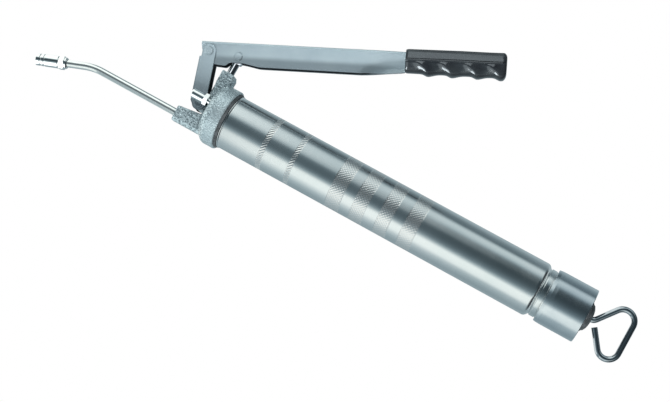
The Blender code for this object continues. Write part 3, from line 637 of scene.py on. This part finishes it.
KNURL_PITCH = 3.3
KNURL_ROUND = int(math.tau * BARREL_R / KNURL_PITCH)  # grooves round the tube
GROOVE_HALF = 0.3  # half a groove's width, as a share of the pitch
NARROW_DEPTH, WIDE_DEPTH = 0.28, 0.17
BORDER_DEPTH, BORDER_WIDTH = 0.13, 0.25  # the plain groove at each side of a band
RUN_IN = 0.3  # a band's grooves reach full depth this far inside it
NARROW_BANDS = ((45.2, 50.3), (77.7, 82.2))
WIDE_BANDS = ((125.3, 140.3), (152.0, 166.0), (179.5, 193.0), (205.5, 220.0))
KNURL_STEP, PLAIN_STEP = 0.36, 12
GUARD_RINGS = (0.1, 0.3, 0.5, 0.8, 1.2)  # rings beside a band, which keep its shading off the plain tube
THREAD_START, THREAD_PITCH, THREAD_RIDGES = -12.6, 3.0, 4
THREAD_MIDDLE, THREAD_HALF_DEPTH = 27.6, 0.3
RINGS_PER_RIDGE = 6


def vee(turns):
    """The depth share of a run of V grooves: 0 on the flat crests, 1 in the middle of each groove."""
    return max(0.0, 1 - abs(turns % 1 - 0.5) / GROOVE_HALF)


def knurl_height(x, angle):
    """How far the tube's skin stands out or in, from the rolled grip bands."""
    for low, high in NARROW_BANDS + WIDE_BANDS:
        inside = min(x - low, high - x)
        if -BORDER_WIDTH < inside < 0:
            return -BORDER_DEPTH
        if inside >= 0:
            around = angle * KNURL_ROUND / math.tau
            lean = (x - low) / KNURL_PITCH
            groove = NARROW_DEPTH * vee(around + lean)
            if (low, high) in WIDE_BANDS:
                groove = WIDE_DEPTH * max(vee(around + lean), vee(around - lean))
            return -groove * min(inside / RUN_IN, 1)
    return 0.0


def barrel_stations():
    """Places along the tube: close together in the grip bands, far apart between them."""
    stations = [2.7, 3.0, 3.6]
    before = stations[-1]
    for low, high in NARROW_BANDS + WIDE_BANDS:
        gap = low - GUARD_RINGS[-1] - before
        parts = max(round(gap / PLAIN_STEP), 1)
        stations += [before + gap * k / parts for k in range(1, parts + 1)]
        stations += [low - guard for guard in GUARD_RINGS[-2::-1]]
        steps = round((high - low) / KNURL_STEP)
        stations += [low + (high - low) * k / steps for k in range(steps + 1)]
        stations += [high + guard for guard in GUARD_RINGS]
        before = stations[-1]
    return stations + [240.0, 260.0, 280.0, 300.0, 320.0, 335.0, 343.6, 344.4]


def build_tube():
    """The barrel tube from its thread, over the rolled lip and the grip bands, to the neck in the cap."""
    lip = [
        (0.0, 27.9), (0.1, 28.25), (0.4, 28.5), (0.8, 28.55), (1.2, 28.4), (1.5, 28.0), (1.8, 27.7),
        (2.1, 27.7), (2.4, 27.9), (2.6, 28.0),
    ]
    neck = [
        (345.0, 28.0), (345.8, 27.9), (346.6, 27.6), (347.4, 27.1), (348.2, 26.4), (348.9, 25.6),
        (349.5, 24.7), (350.0, 24.2), (350.8, 24.2), (351.2, 24.9), (351.4, 25.0), (351.8, 25.0),
        (355.9, 25.0), (356.1, 24.9), (356.4, 24.3), (357.6, 24.3), (358.0, 25.0), (358.4, 25.0),
        (373.2, 25.0), (373.4, 25.0),
    ]
    bore = [(373.4, 23.8), (350.0, 23.8), (346.5, 26.9), (-13.0, 26.9), (-13.0, 27.2)]
    thread = []
    for k in range(THREAD_RIDGES * RINGS_PER_RIDGE):
        share = k / RINGS_PER_RIDGE
        radius = THREAD_MIDDLE - THREAD_HALF_DEPTH * math.cos(math.tau * share)
        thread.append((THREAD_START + share * THREAD_PITCH, radius))
    sides = KNURL_ROUND * 8
    angles = [math.tau * k / sides for k in range(sides)]
    plain = circle(sides)

    def ring(x, radius):
        return [(x, radius * y, radius * z) for y, z in plain]

    def knurled(x):
        radii = [BARREL_R + knurl_height(x, angle) for angle in angles]
        return [(x, radius * y, radius * z) for radius, (y, z) in zip(radii, plain)]

    front = [ring(*corner) for corner in thread + [(-0.3, 27.3), (0.0, 27.35)] + lip]
    middle = [knurled(x) for x in barrel_stations()]
    rear = [ring(*corner) for corner in neck + bore]
    tube = skin(front + middle + rear, loop=True)
    piece("barrel_tube_skin", tube, "brushed_steel", "barrel", "barrel_tube", sharp=60)


def build_barrel_fittings():
    cap = [
        (357.4, 25.3), (357.4, 27.4, 0.1), (360.5, 27.85, 1.5), (364.5, 28.0, 4.0), (380.0, 28.0),
        (398.7, 28.0, 0.2), (399.2, 27.5, 0.2), (399.2, 16.6, 0.3), (398.9, 16.2, 0.3), (398.9, 8.2, 0.3),
        (397.2, 8.2, 0.3), (397.2, 24.6, 0.6), (396.0, 25.3, 0.6),
    ]
    cap = lathe(cap, 192, 6)
    piece("end_cap_skin", cap, "cap_steel", "barrel", "end_cap", sharp=50)

    seal = [
        (-2.8, 28.15, 0.2), (-2.8, 29.9, 0.5), (-1.9, 29.8, 0.4), (-1.2, 29.2, 0.4), (-0.25, 28.9, 0.3),
        (-0.25, 28.15, 0.2),
    ]
    piece("gasket_skin", lathe(seal, 144), "gland_rubber", "gasket", "barrel_gasket")

    gland = [
        (395.5, 9.2, 0.3), (396.9, 9.2, 0.3), (396.9, 7.7), (399.5, 7.7), (399.5, 15.5, 0.4),
        (400.6, 15.5, 0.7), (401.4, 14.2, 0.8), (403.2, 13.0, 1.5), (404.9, 9.6, 2.0), (405.7, 6.0, 0.5),
        (405.7, 3.35, 0.3), (395.5, 3.35),
    ]
    piece("rod_gland_skin", lathe(gland, 96, 5), "gland_rubber", "barrel", "rod_gland")

    front, rear = 10.2, 396.8
    spring = coil(front, rear, 20.0, 1.1, 18, 36, 10)
    spring_piece("follower_spring_coil", spring, "barrel", "follower_spring")


def build_follower_rod():
    """The rod and its pull handle, one bent wire whose free end stops short of the rod."""
    handle = [(-5, 0), (408.1, 0, 7), (443.4, 46.0, 11), (443.2, -48.9, 10.5), (411.8, -5.2)]
    wire = sweep(rounded_path(handle, 22), (3.0,), 36)
    collar = lathe([(10.1, 0), (10.1, 5.5, 0.3), (12.1, 5.5, 0.3), (12.1, 0)], 48)
    joined = carve("follower_rod", [wire, collar])
    piece("follower_rod_wire", joined, "dark_chrome", "rod", "follower_rod")


# Head


def build_head():
    """One casting: cup over the barrel's thread, pump block, lug for the link and outlet boss."""
    cup = lathe(
        [
            (-26.4, 0), (-26.4, 8), (-25.4, 18, 4), (-22.2, 26.8, 5), (-17.8, 30.8, 3), (-15, 31.75, 1.5),
            (-3.9, 31.75, 0.6), (-3, 31.0, 0.4), (-3, 28.4), (-14, 28.4), (-14, 22), (-18.5, 14), (-18.5, 0),
        ],
        160, 5,
    )
    rear = -17.0
    web = [(-32.2, -4), (-20, -4), (-18.6, 24), (rear, 30), (rear, 38.5), (-19.4, 42.4), (-32.2, 42.4)]
    face = [
        (-32.4, -4), (-28.4, -4), (-26.6, 8), (-24.2, 17.5), (-20.9, 27.6), (-17.9, 31.2), (-17.3, 37.7),
        (-19.0, 42.0), (-20.6, 42.6), (-32.4, 42.6),
    ]
    lug = [(-20, 13), (-20, -9)] + arc((FOOT.x, FOOT.z), 5.5, 250, 105, 16) + [(-31.8, 15)]

    def boss(x, top):
        shoulder = top - 1.4
        outline = [(-8, shoulder), (-8, -23.4), (-5, -26.5), (5, -26.5), (8, -23.4), (8, shoulder)]
        return [(x, y, z) for y, z in outline + [(6.6, top), (-6.6, top)]]

    web_half, face_half, lug_half, clear = 6.6, 8.3, 6.4, 14
    cheek_room = 9.2  # round the link's foot as it swings
    pocket = arc((FOOT.x, FOOT.z), cheek_room, -90, 20, 16)
    pocket += [(-29.6, 12), (-32.7, 31), (-60, 31), (-60, FOOT.z - cheek_room)]
    bore = round_bar(-11, 50, 4.2)
    bore.transform(Matrix.Translation(((LEVER_FRAME @ PUMP_PIN).x, 0, 0)) @ UPRIGHT)
    socket = round_bar(-58, OUTLET_SEAT_X, 4.3)
    socket.transform(Matrix.Translation((0, 0, OUTLET_Z)))
    port = round_bar(-30, -12, 3.3)
    port.transform(Matrix.Translation(LOADER))
    head = carve(
        "head",
        [
            cup, slab(web, -web_half, web_half), slab(face, -face_half, face_half),
            slab(lug, -lug_half, lug_half), skin([boss(-54.2, -10.4), boss(-18, -6.0)]),
        ],
        [slab(pocket, -clear, -lug_half), slab(pocket, lug_half, clear), bore, socket, port, pin_hole(FOOT)],
    )
    head = soften(head, 0.5)
    piece("head_casting_skin", head, "hammered_paint", "head", "head_casting", sharp=70)


def build_loader():
    barb = lathe(
        [(-45, 1.6, 0.2), (-45, 3.7, 0.3), (-43.9, 4.8, 0.5), (-30.2, 4.8, 0.4), (-30.2, 3.0), (-19.5, 3.0),
         (-19.5, 2.0), (-41, 2.0), (-41, 1.6)], 72,
    )
    fitting = carve("loader", [barb, hexagon(12, -30.7, -26.2, 2.5)])
    fitting.transform(Matrix.Translation(LOADER))
    piece("loader_fitting_skin", fitting, "chrome", "head", "loader_fitting")
    rear = -21.0
    spring = coil(-37.9, rear, 1.3, 0.25, 6)
    spring.transform(Matrix.Translation(LOADER))
    spring_piece("loader_spring_coil", spring, "head", "loader_spring")


def build_outlet():
    tube_end = COUPLER_REAR - COUPLER_DIRECTION * 6.6
    path = rounded_path([(-45.8, OUTLET_Z), (-154, OUTLET_Z, 60), (tube_end.x, tube_end.z)], 24)
    tube = sweep(path, (4.0, 2.2), 48)
    piece("outlet_tube_skin", tube, "zinc", "head", "outlet_tube")

    front = -45.4
    spring = coil(front, OUTLET_BALL_X - 3.2, 2.6, 0.35, 5)
    spring.transform(Matrix.Translation((0, 0, OUTLET_Z)))
    spring_piece("outlet_spring_coil", spring, "head", "outlet_valve_spring")


def build_coupler():
    """The coupler in its own frame: X along the outlet tube's bent end, towards the tube."""
    body = lathe(
        [(0, 4.3, 0.2), (0, 5.0, 0.3), (-1.2, 5.9, 0.6), (-8.8, 5.9), (-8.8, 4.7), (-18.5, 4.7), (-18.5, 3.4),
         (-9.5, 3.4), (-9.5, 1.4), (-7.3, 1.4), (-7.3, 4.3)], 72,
    )
    body = carve("coupler_body", [body, hexagon(13, -8.6, -2.9, 5.4, 0.7)])
    piece("coupler_body_skin", body, "chrome", "head", "coupler_body", COUPLER_FRAME)

    sleeve = lathe(
        [
            (-9.1, 5.0), (-9.1, 5.9, 0.2), (-9.8, 6.4, 0.4), (-23.3, 6.4, 0.3), (-23.9, 5.75, 0.2),
            (-24.5, 5.75, 0.2), (-24.9, 6.25, 0.3), (-27.1, 6.25, 0.3), (-27.5, 5.7, 0.2),
            (-28.7, 5.7, 0.2), (-29.1, 6.25, 0.3), (-32.6, 6.25, 0.5), (-33.4, 5.6, 0.3), (-33.4, 4.2, 0.3),
            (-30, 4.9), (-20, 5.1),
        ],
        96,
    )
    piece("coupler_sleeve_skin", sleeve, "chrome", "coupler_sleeve", "coupler_sleeve", COUPLER_FRAME)

    rear = -9.8
    spring_piece(
        "coupler_spring_coil", coil(-20, rear, 2.5, 0.4, 5), "head", "coupler_spring",
        COUPLER_FRAME,
    )


# Linkage


def build_link():
    """The link's own frame: Z from its foot pin to its head pin, X to the rear."""
    cheek, web_top = 6.9, 48.0
    front = -cheek - 1.9
    outline = arc((0, 0), cheek, 0, -168, 24)
    outline += [(front, 2), (front, web_top), (-cheek, web_top)]
    outline += arc((0, LINK_LENGTH), cheek + 0.2, 180, 0, 24)
    inside, web_in = 6.7, front + 2
    channel = [(web_in, -20), (20, -20), (20, 70), (front - 2, 70), (front - 2, web_top), (web_in, web_top)]
    eyes = [pin_hole(), pin_hole((0, 0, LINK_LENGTH))]
    link = carve("link", [slab(outline, -8.5, 8.5)], [slab(channel, -inside, inside), *eyes])
    link = soften(link, 0.4)
    piece("link_skin", link, "link_paint", "link", "link", LINK_FRAME, 70)

    reach = 8.8
    foot = lathe(
        [(-reach - 1.2, 0), (-reach - 1.2, 3.8, 0.5), (-reach - 0.5, 4.6, 0.3), (-reach, 4.6),
         (-reach, PIN_R), (reach + 0.35, PIN_R), (reach + 0.35, 1.8), (reach + 1.35, 1.8),
         (reach + 1.35, PIN_R), (reach + 2.6, 2.1, 0.3), (reach + 2.6, 0)], 64,
    )
    across = Matrix.Translation(FOOT) @ SIDEWAYS
    piece("link_foot_pin_skin", foot, "link_paint", "head", "link_foot_pin", across)

    near, far = reach + 0.5, reach + 1.2
    disc = lathe([(near, 2.0, 0.1), (near, 4.6, 0.15), (far, 4.6, 0.15), (far, 2.0, 0.1)], 64)
    mouth = [(reach, -1.6), (reach + 2, -1.6), (reach + 2, 1.6), (reach, 1.6)]
    clip = carve("clip", [disc], [skin([[(x, y, z) for x, y in mouth] for z in (0, 8)])])
    piece("foot_pin_clip_skin", clip, "spring_steel", "head", "foot_pin_clip", across)


def interpolate(stations, at):
    """The value at a place, in straight lines between (place, value) stations."""
    places, values = zip(*stations)
    return float(np.interp(at, places, values))


# Along the lever: how deep its cheeks and its back lie below the straight of its back, and how far the
# cheeks' lower edges are curled in, from 0 to 1.
LEVER_DEPTH = (
    (-0.8, 3.2), (0, 7), (0.8, 11), (5.5, 17.4), (9, 22.0), (10.5, 22.7), (14, 23.0), (24.0, 23.8),
    (25.5, 23.4), (28.5, 20.9), (30.5, 20.3), (42, 20.3), (46, 20.9), (58, 23.3), (62, 23.6), (163, 23.6),
    (175, 22.9), (186, 21.8), (202, 20.2), (206.6, 19.4), (206.75, 16.4), (292, 16.4),
)
LEVER_TOP = ((-0.8, -0.8), (180, -0.8), (206.6, -0.5), (206.75, 2.3), (292, 2.3))
LEVER_CURL = ((0, 0.0), (140, 0.0), (160, 0.3), (175, 0.75), (190, 0.95), (206, 1.0), (292, 1.0))
# Further sections, where the outline turns quickly.
LEVER_FILL = (-0.4, 0.4, 3, 7.5, 12, 18, 31.5, 33, 36, 39, 150, 204, 206.3, 206.9, 230, 260)
SHEET = 2.0
LEVER_HALF, LEVER_FOLD = 6.4, 1.7
CURL_ANGLE = math.radians(38)


def channel_section(top, bottom, curl):
    """Half-path of the pressed sheet's middle, from the back's centre down one cheek, as (y, down)."""
    middle = LEVER_HALF - SHEET / 2
    back = top + SHEET / 2
    path = [(0.0, back)]
    for step in range(6):
        angle = math.pi / 2 * step / 5
        across = middle - LEVER_FOLD + LEVER_FOLD * math.sin(angle)
        path.append((across, back + LEVER_FOLD * (1 - math.cos(angle))))
    start = back + LEVER_FOLD
    length = max(bottom - start, 0.4)
    curled = length * (0.3 + 0.5 * curl)
    straight = length - curled
    bow = 0.06 * (1 - curl) / max(length, 1)

    def camber(down):
        """How far the cheek stands in from upright, being very slightly bowed outward."""
        return bow * (down - start - 0.6 * length) ** 2

    narrowed = 1 - camber(start) / middle
    path = [(y * narrowed, down) for y, down in path]
    for share in (0.03, 0.2, 0.4, 0.6, 0.8, 1.0):
        down = start + straight * share
        path.append((middle - camber(down), down))
    steps = 8
    turned = CURL_ANGLE * curl**2
    chord = math.sin(turned) / turned if turned > 0.01 else 1
    stride = curled / steps / chord  # keeps the depth of a curled cheek
    y, down = path[-1]
    for step in range(1, steps + 1):
        heading = turned * (step - 0.5) / steps
        y -= stride * math.sin(heading)
        down += stride * math.cos(heading)
        path.append((y, down))
    return path


def thicken(path):
    """The two faces of a strip of sheet that follows a path."""
    outer, inner = [], []
    for k, point in enumerate(path):
        behind = Vector(path[max(k - 1, 0)])
        ahead = Vector(path[min(k + 1, len(path) - 1)])
        direction = (ahead - behind).normalized()
        normal = Vector((direction.y, -direction.x))
        outer.append(Vector(point) + normal * SHEET / 2)
        inner.append(Vector(point) - normal * SHEET / 2)
    return outer, inner


def build_lever():
    """A folded channel with its pins riveted in, front end at the link."""
    drawn = [place for place, _ in LEVER_DEPTH + LEVER_TOP]
    rings = []
    for along in sorted({*drawn, *range(64, 200, 4), *LEVER_FILL}):
        top, bottom, curl = (interpolate(run, along) for run in (LEVER_TOP, LEVER_DEPTH, LEVER_CURL))
        outer, inner = thicken(channel_section(top, bottom, curl))
        outline = [(p.x, p.y) for p in outer + inner[::-1]] + [(-p.x, p.y) for p in inner[1:] + outer[:0:-1]]
        rings.append([(along - LEVER_PIN_IN, y, LEVER_PIN_DOWN - down) for y, down in outline])
    lever = carve("lever", [skin(rings)], [pin_hole(), pin_hole(PUMP_PIN)])
    piece("lever_skin", lever, "lever_paint", "lever", "lever", LEVER_FRAME, 35)

    def riveted_pin(node, reach, centre):
        crown, rim = reach + 1.0, reach + 0.2
        half = [(reach, PIN_R), (reach, 4.5), (rim, 4.5, 0.1), (crown, 3.6, 0.3), (crown, 0)]
        mirrored = [(-x, *rest) for x, *rest in half[::-1]]
        turn = Matrix.Translation(centre) @ SIDEWAYS
        pin = lathe(mirrored + half, 64)
        piece(f"{node}_skin", pin, "lever_paint", "lever", node, LEVER_FRAME @ turn)

    riveted_pin("link_head_pin", 8.8, Vector((0, 0, 0)))
    riveted_pin("plunger_pin", 6.7, PUMP_PIN)


def build_plunger():
    """The pump's round bar, with an oversize window in its flat head for the lever's pin."""
    pin = LEVER_FRAME @ PUMP_PIN
    stem = lathe([(-0.5, 0), (-0.5, 3.5, 0.4), (0.1, 4.0, 0.3), (pin.z - 5, 4.0), (pin.z - 5, 0)], 64)
    stem.transform(Matrix.Translation((pin.x, 0, 0)) @ UPRIGHT)

    def block(wall, radius, half):
        """A rounded block round the pin: the window itself, or with a wall the head round it."""
        front, rear, foot, crown = -5.9 - wall, 3.3 + wall, -4.9 - wall, 3.5 + wall
        corners = [(front, foot, radius), (rear, foot, radius), (rear, crown, radius), (front, crown, radius)]
        return slab([(x + pin.x, z + pin.z) for x, z in fillet(corners)], -half, half)

    plunger = carve("plunger", [stem, block(2.0, 1.5, 4.0)], [block(0.0, 0.8, 10)])
    piece("plunger_skin", plunger, "dark_chrome", "plunger", "plunger")


# Grip

GRIP_START, GRIP_END = 206.8, 307.2
FLARE_START = 288
DOME_START, DOME_LENGTH = 303.2, 4.0
RIDGES = (231.3, 255.2, 280.3, 303.0)
RIDGE_FRONT, RIDGE_BACK = 3.99, 7.125  # how far a ridge takes to fall away, ahead of its crest and behind
RIDGE_FOOT, RIDGE_LEAN = 21.9, 0.95  # crests lean forward with height above this depth
GRIP_CROWN = ((0, 0), (4.2, 0.05), (6.9, 0.4), (8.5, 1.2), (9.0, 1.9), (9.25, 2.6), (9.5, 4.2), (9.9, 7.0))
GRIP_SEAM = ((10.3, 10.0), (10.3, 10.3), (9.9, 10.8), (10.3, 10.7), (11.1, 11.2), (11.1, 11.9), (10.2, 12.3))
GRIP_SIDE = ((9.9, 12.7), (9.95, 13.2), (9.6, 15.2), (9.0, 17.8))
GRIP_FOOT = ((7.9, -2.2), (6.2, -0.7), (3.6, -0.1), (0.0, 0.0))


def clamp(value):
    return min(max(value, 0), 1)


def ridge_share(along, down):
    """1 on a finger ridge's crest, 0 in the hollow between two."""
    shapes = []
    for crest in RIDGES:
        rise = along - crest + RIDGE_LEAN * max(RIDGE_FOOT - down, 0)
        width = RIDGE_FRONT if rise < 0 else RIDGE_BACK
        shapes.append(math.exp(-((rise / width) ** 2)))
    return max(shapes)


def grip_ring(along):
    """The grip's outline at one place along the lever, as (y, down) points."""
    flare = max(along - FLARE_START, 0) / (GRIP_END - FLARE_START)
    mouth = max(1 - (along - GRIP_START) / 2.5, 0)
    dome = clamp((along - DOME_START) / DOME_LENGTH)
    shrink = 1 - 0.06 * mouth**2 - 0.42 * (1 - math.sqrt(1 - dome**2))
    top = -3.4 - 0.8 * clamp((along - GRIP_START) / 55) - 0.3 * flare**1.5
    bottom = 20.1 + 0.4 * flare**1.5
    widen = 1 + 0.035 * flare
    middle = (top + bottom) / 2
    profile = [(y, top + down) for y, down in GRIP_CROWN + GRIP_SEAM + GRIP_SIDE]
    profile += [(y, bottom + down) for y, down in GRIP_FOOT]
    points = []
    for y, down in profile:
        crest = ridge_share(along, down)
        out = 2.3 * (crest - 0.62) * clamp((down - top - 12.4) / 6.5)
        y = y * widen + out * min(y / 6.0, 1)
        down += clamp((down - bottom + 3.0) / 3.0) * (2.2 * crest - 0.2)
        points.append((y * shrink, middle + (down - middle) * shrink))
    return points + [(-y, down) for y, down in points[-2:0:-1]]


def build_grip():
    stations = list(np.linspace(GRIP_START, DOME_START, 130))
    stations += [DOME_START + DOME_LENGTH * math.sin(math.pi / 2 * k / 10) for k in range(1, 11)]
    rings = [[(a - LEVER_PIN_IN, y, LEVER_PIN_DOWN - down) for y, down in grip_ring(a)] for a in stations]
    section = [(-6.7, -16.8), (6.7, -16.8), (6.7, -1.9), (-6.7, -1.9)]
    hollow = bar(section, GRIP_START - 5 - LEVER_PIN_IN, 292.3 - LEVER_PIN_IN)
    hollow.transform(Matrix.Translation((0, 0, LEVER_PIN_DOWN)))
    grip = carve("grip", [skin(rings)], [hollow])
    piece("grip_skin", grip, "black_plastic", "lever", "grip", LEVER_FRAME, 45)


build_tube()
build_barrel_fittings()
build_follower_rod()
build_head()
build_loader()
build_outlet()
build_coupler()
build_link()
build_lever()
build_plunger()
build_grip()

KEPT = {
    "chrome": ("outlet_valve_ball", "loader_ball"),
    "zinc": ("coupler_jaws", "follower_front_washer", "follower_rear_washer", "follower_nut"),
    "black_rubber": ("plunger_seal", "coupler_seal", "follower_cup"),
}
for kept_finish, kept_nodes in KEPT.items():
    for kept_node in kept_nodes:
        finish(frame["nodes"][kept_node], kept_finish, 35)


# Studio

# Brightness of the studio round the barrel, as (angle, value): 0 is level with the camera, 90
# overhead and -90 below. The first set is what lies towards the coupler, the second towards the handle.
ROUND_COUPLER = (
    (-170, 0.36), (-126, 0.42), (-104, 0.56), (-88, 0.80), (-70, 1.05), (-50, 1.08), (-42, 1.0), (-35, 0.56),
    (-25, 0.26), (-14, 0.155), (-4, 0.155), (8, 0.18), (16, 0.23), (26, 0.55), (40, 0.68), (60, 0.66),
    (73, 0.6), (82, 0.34), (92, 0.13), (108, 0.1), (125, 0.27), (150, 0.5),
)
ROUND_HANDLE = (
    (-170, 0.46), (-126, 0.38), (-104, 0.46), (-88, 0.54), (-74, 0.95), (-57, 1.0), (-45, 1.04), (-37, 0.62),
    (-30, 0.34), (-22, 0.21), (-14, 0.15), (-5, 0.095), (8, 0.06), (22, 0.055), (33, 0.07), (40, 0.13),
    (46, 0.3), (54, 0.58), (64, 0.72), (73, 0.76), (80, 0.55), (88, 0.18), (110, 0.3), (138, 0.5), (160, 0.5),
)

# What the tube, the coupler and the loader mirror: the same studio, with more contrast.
ROUND_NOZZLE = (
    (-170, 0.8), (-126, 0.6), (-104, 0.42), (-80, 0.38), (-50, 0.42), (-38, 0.4), (-28, 0.3), (-18, 0.16),
    (-8, 0.07), (6, 0.06), (16, 0.12), (24, 0.4), (32, 0.95), (45, 1.25), (70, 1.25), (82, 0.8), (92, 0.16),
    (112, 0.16), (125, 0.5), (150, 0.8),
)


def studio_colour(value):
    """Darks lean to blue-green, lights are near neutral."""
    shade, light = Vector((0.57, 0.85, 1.0)), Vector((0.93, 1.0, 0.98))
    return (*shade.lerp(light, min(value, 1)) * value, 1)


def build_world():
    """Soft bands of light and shade round the barrel's axis, which its bright metal mirrors."""
    world = bpy.data.worlds.new("studio")
    bpy.context.scene.world = world
    world.use_nodes = True
    w = Nodes(world.node_tree)
    direction = w.split(w.add("ShaderNodeTexCoord").outputs["Generated"])
    along, level = direction["X"], direction["Y"]
    angle = w.maths("ARCTAN2", direction["Z"], w.times(level, -1.0))
    turn = w.maths("MULTIPLY_ADD", angle, 1 / math.tau, 0.5)

    def step(value, *span):
        return w.remap(value, *span, smooth=True)

    def bands(stops):
        ramp = w.add("ShaderNodeValToRGB", Fac=turn)
        elements = ramp.color_ramp.elements
        seam = studio_colour((stops[0][1] + stops[-1][1]) / 2)
        for end, position in ((elements[0], 0.0), (elements[1], 1.0)):
            end.position, end.color = position, seam
        for degrees, value in stops:
            elements.new(degrees / 360 + 0.5).color = studio_colour(value)
        return ramp.outputs["Color"]

    colour = w.blend(step(along, -0.2, 0.03), bands(ROUND_COUPLER), bands(ROUND_HANDLE))
    colour = w.blend(step(along, -0.262, -0.278), colour, bands(ROUND_NOZZLE))
    left_light = w.times(step(along, -0.42, -0.62), step(level, -0.55, -0.35))
    colour = w.blend(left_light, colour, (1.1, 1.15, 1.13))
    beside = w.times(step(level, -0.6, -0.4), step(level, 0.6, 0.4))
    right_shade = w.times(step(along, 0.22, 0.7, 0.0, 0.95), beside)
    colour = w.blend(right_shade, colour, (0.03, 0.035, 0.04))

    rays = w.add("ShaderNodeLightPath").outputs
    lit = w.tree.nodes["Background"]
    w.put(lit.inputs["Color"], colour)
    w.put(lit.inputs["Strength"], w.maths("MULTIPLY_ADD", rays["Is Diffuse Ray"], 0.9, 1.0))
    white = w.add("ShaderNodeBackground", Color=(1, 1, 1, 1))
    seen = w.crossfade(rays["Is Camera Ray"], lit, white)
    w.put(w.tree.nodes["World Output"].inputs["Surface"], seen)


def build_floor():
    """A pale round floor far below, which fades into the white backdrop."""
    bm = bmesh.new()
    radius = 1.15
    bmesh.ops.create_circle(bm, cap_ends=True, segments=96, radius=radius)
    bmesh.ops.translate(bm, verts=bm.verts, vec=(0, 0, -0.56))
    floor = make_object("floor", bm)
    s = Shader("floor_paper", (0.93, 0.93, 0.93), 0.0, 0.9)
    s.set(Normal=s.bump(s.noise(900), 0.05, 0.2))
    distance = s.add("ShaderNodeVectorMath", Vector=s.stretched((1, 1, 0)))
    distance.operation = "LENGTH"
    fade = s.remap(distance.outputs["Value"], 0.35 * radius, 0.98 * radius, smooth=True)
    white = s.add("ShaderNodeEmission", Color=(1, 1, 1, 1))
    faded = s.crossfade(fade, s.surface, white)
    s.put(s.tree.nodes["Material Output"].inputs["Surface"], faded)
    floor.data.materials.append(s.material)
    for kind in ("visible_diffuse", "visible_glossy", "visible_transmission", "visible_shadow"):
        setattr(floor, kind, False)


# The camera turns with the gun's near side towards it and is rolled, so that the barrel falls to the right.
CAMERA_PLACE = Vector((328.2, -1272.0, -103.5))
CAMERA_AZIMUTH = math.radians(8.74)
CAMERA_ELEVATION = math.radians(-3.756)
CAMERA_ROLL = math.radians(29.38)
SENSOR = 36.0
LENS = 1.9403 * SENSOR
CENTRE_SHIFT = 0.000746  # of the picture's width


def build_camera():
    data = bpy.data.cameras.new("camera")
    camera = add_object("camera", data)
    back = Vector((
        math.sin(CAMERA_AZIMUTH) * math.cos(CAMERA_ELEVATION),
        -math.cos(CAMERA_AZIMUTH) * math.cos(CAMERA_ELEVATION),
        math.sin(CAMERA_ELEVATION),
    ))
    level = Z_AXIS.cross(back).normalized()
    right = (Matrix.Rotation(CAMERA_ROLL, 3, back) @ level).normalized()
    rotation = Matrix((right, back.cross(right), back)).transposed()
    camera.matrix_world = Matrix.Translation(in_frame(CAMERA_PLACE)) @ rotation.to_4x4()
    data.sensor_width = SENSOR
    data.lens = LENS
    data.shift_x, data.shift_y = -CENTRE_SHIFT, CENTRE_SHIFT
    data.clip_start, data.clip_end = 0.05, 20
    bpy.context.scene.camera = camera


def area_light(name, place, target, size, power, only=()):
    """A soft box. With a list of pieces it lights only those, and they mirror it; else nothing mirrors it."""
    data = bpy.data.lights.new(name, "AREA")
    data.size = size
    data.energy = power
    light = add_object(name, data)
    light.location = place
    light.rotation_euler = (Vector(target) - Vector(place)).to_track_quat("-Z", "Y").to_euler()
    light.visible_glossy = bool(only)
    light.visible_camera = False
    if only:
        receivers = bpy.data.collections.new(f"lit_by_{name}")
        for lit_piece in only:
            receivers.objects.link(bpy.data.objects[lit_piece])
        light.light_linking.receiver_collection = receivers


def build_lights():
    area_light("key", (-0.35, -1.2, 0.6), (0, 0, 0.05), 0.4, 7)
    area_light("fill", (0.1, -1.4, 0.5), (0, 0, 0.1), 1.0, 5)
    area_light("lift", (0.45, -0.9, -0.8), (-0.12, 0, 0), 0.6, 24)
    for name, place, size, power in (
        ("grip_glint", (-0.13, -0.55, -0.72), 0.34, 8),
        ("grip_glow", (-0.1, -1.0, -0.75), 0.7, 3),
        ("grip_sheen", (-0.24, -1.2, 0.58), 0.55, 2.4),
        ("grip_line", (-0.2, -1.25, 0.2), 0.3, 1),
    ):
        area_light(name, place, (0.04, 0, 0.2), size, power, ["grip_skin"])
    sheen = (-0.37, -1.5, 0.3)
    painted = ["lever_skin", "link_skin", "link_head_pin_skin", "plunger_pin_skin"]
    plated = ["coupler_body_skin", "coupler_sleeve_skin", "loader_fitting_skin"]
    area_light("lever_sheen", sheen, (-0.07, 0, 0.1), 0.7, 0.95, painted)
    area_light("plunger_sheen", sheen, (-0.12, 0, 0.05), 0.7, 3, ["plunger_skin"])
    area_light("white_below", (-0.2, -0.25, -0.9), (-0.25, 0, 0), 1.1, 4, plated)


build_world()
build_floor()
build_camera()
build_lights()
bpy.context.scene.view_settings.view_transform = "Standard"
bpy.context.scene.view_settings.look = "None"
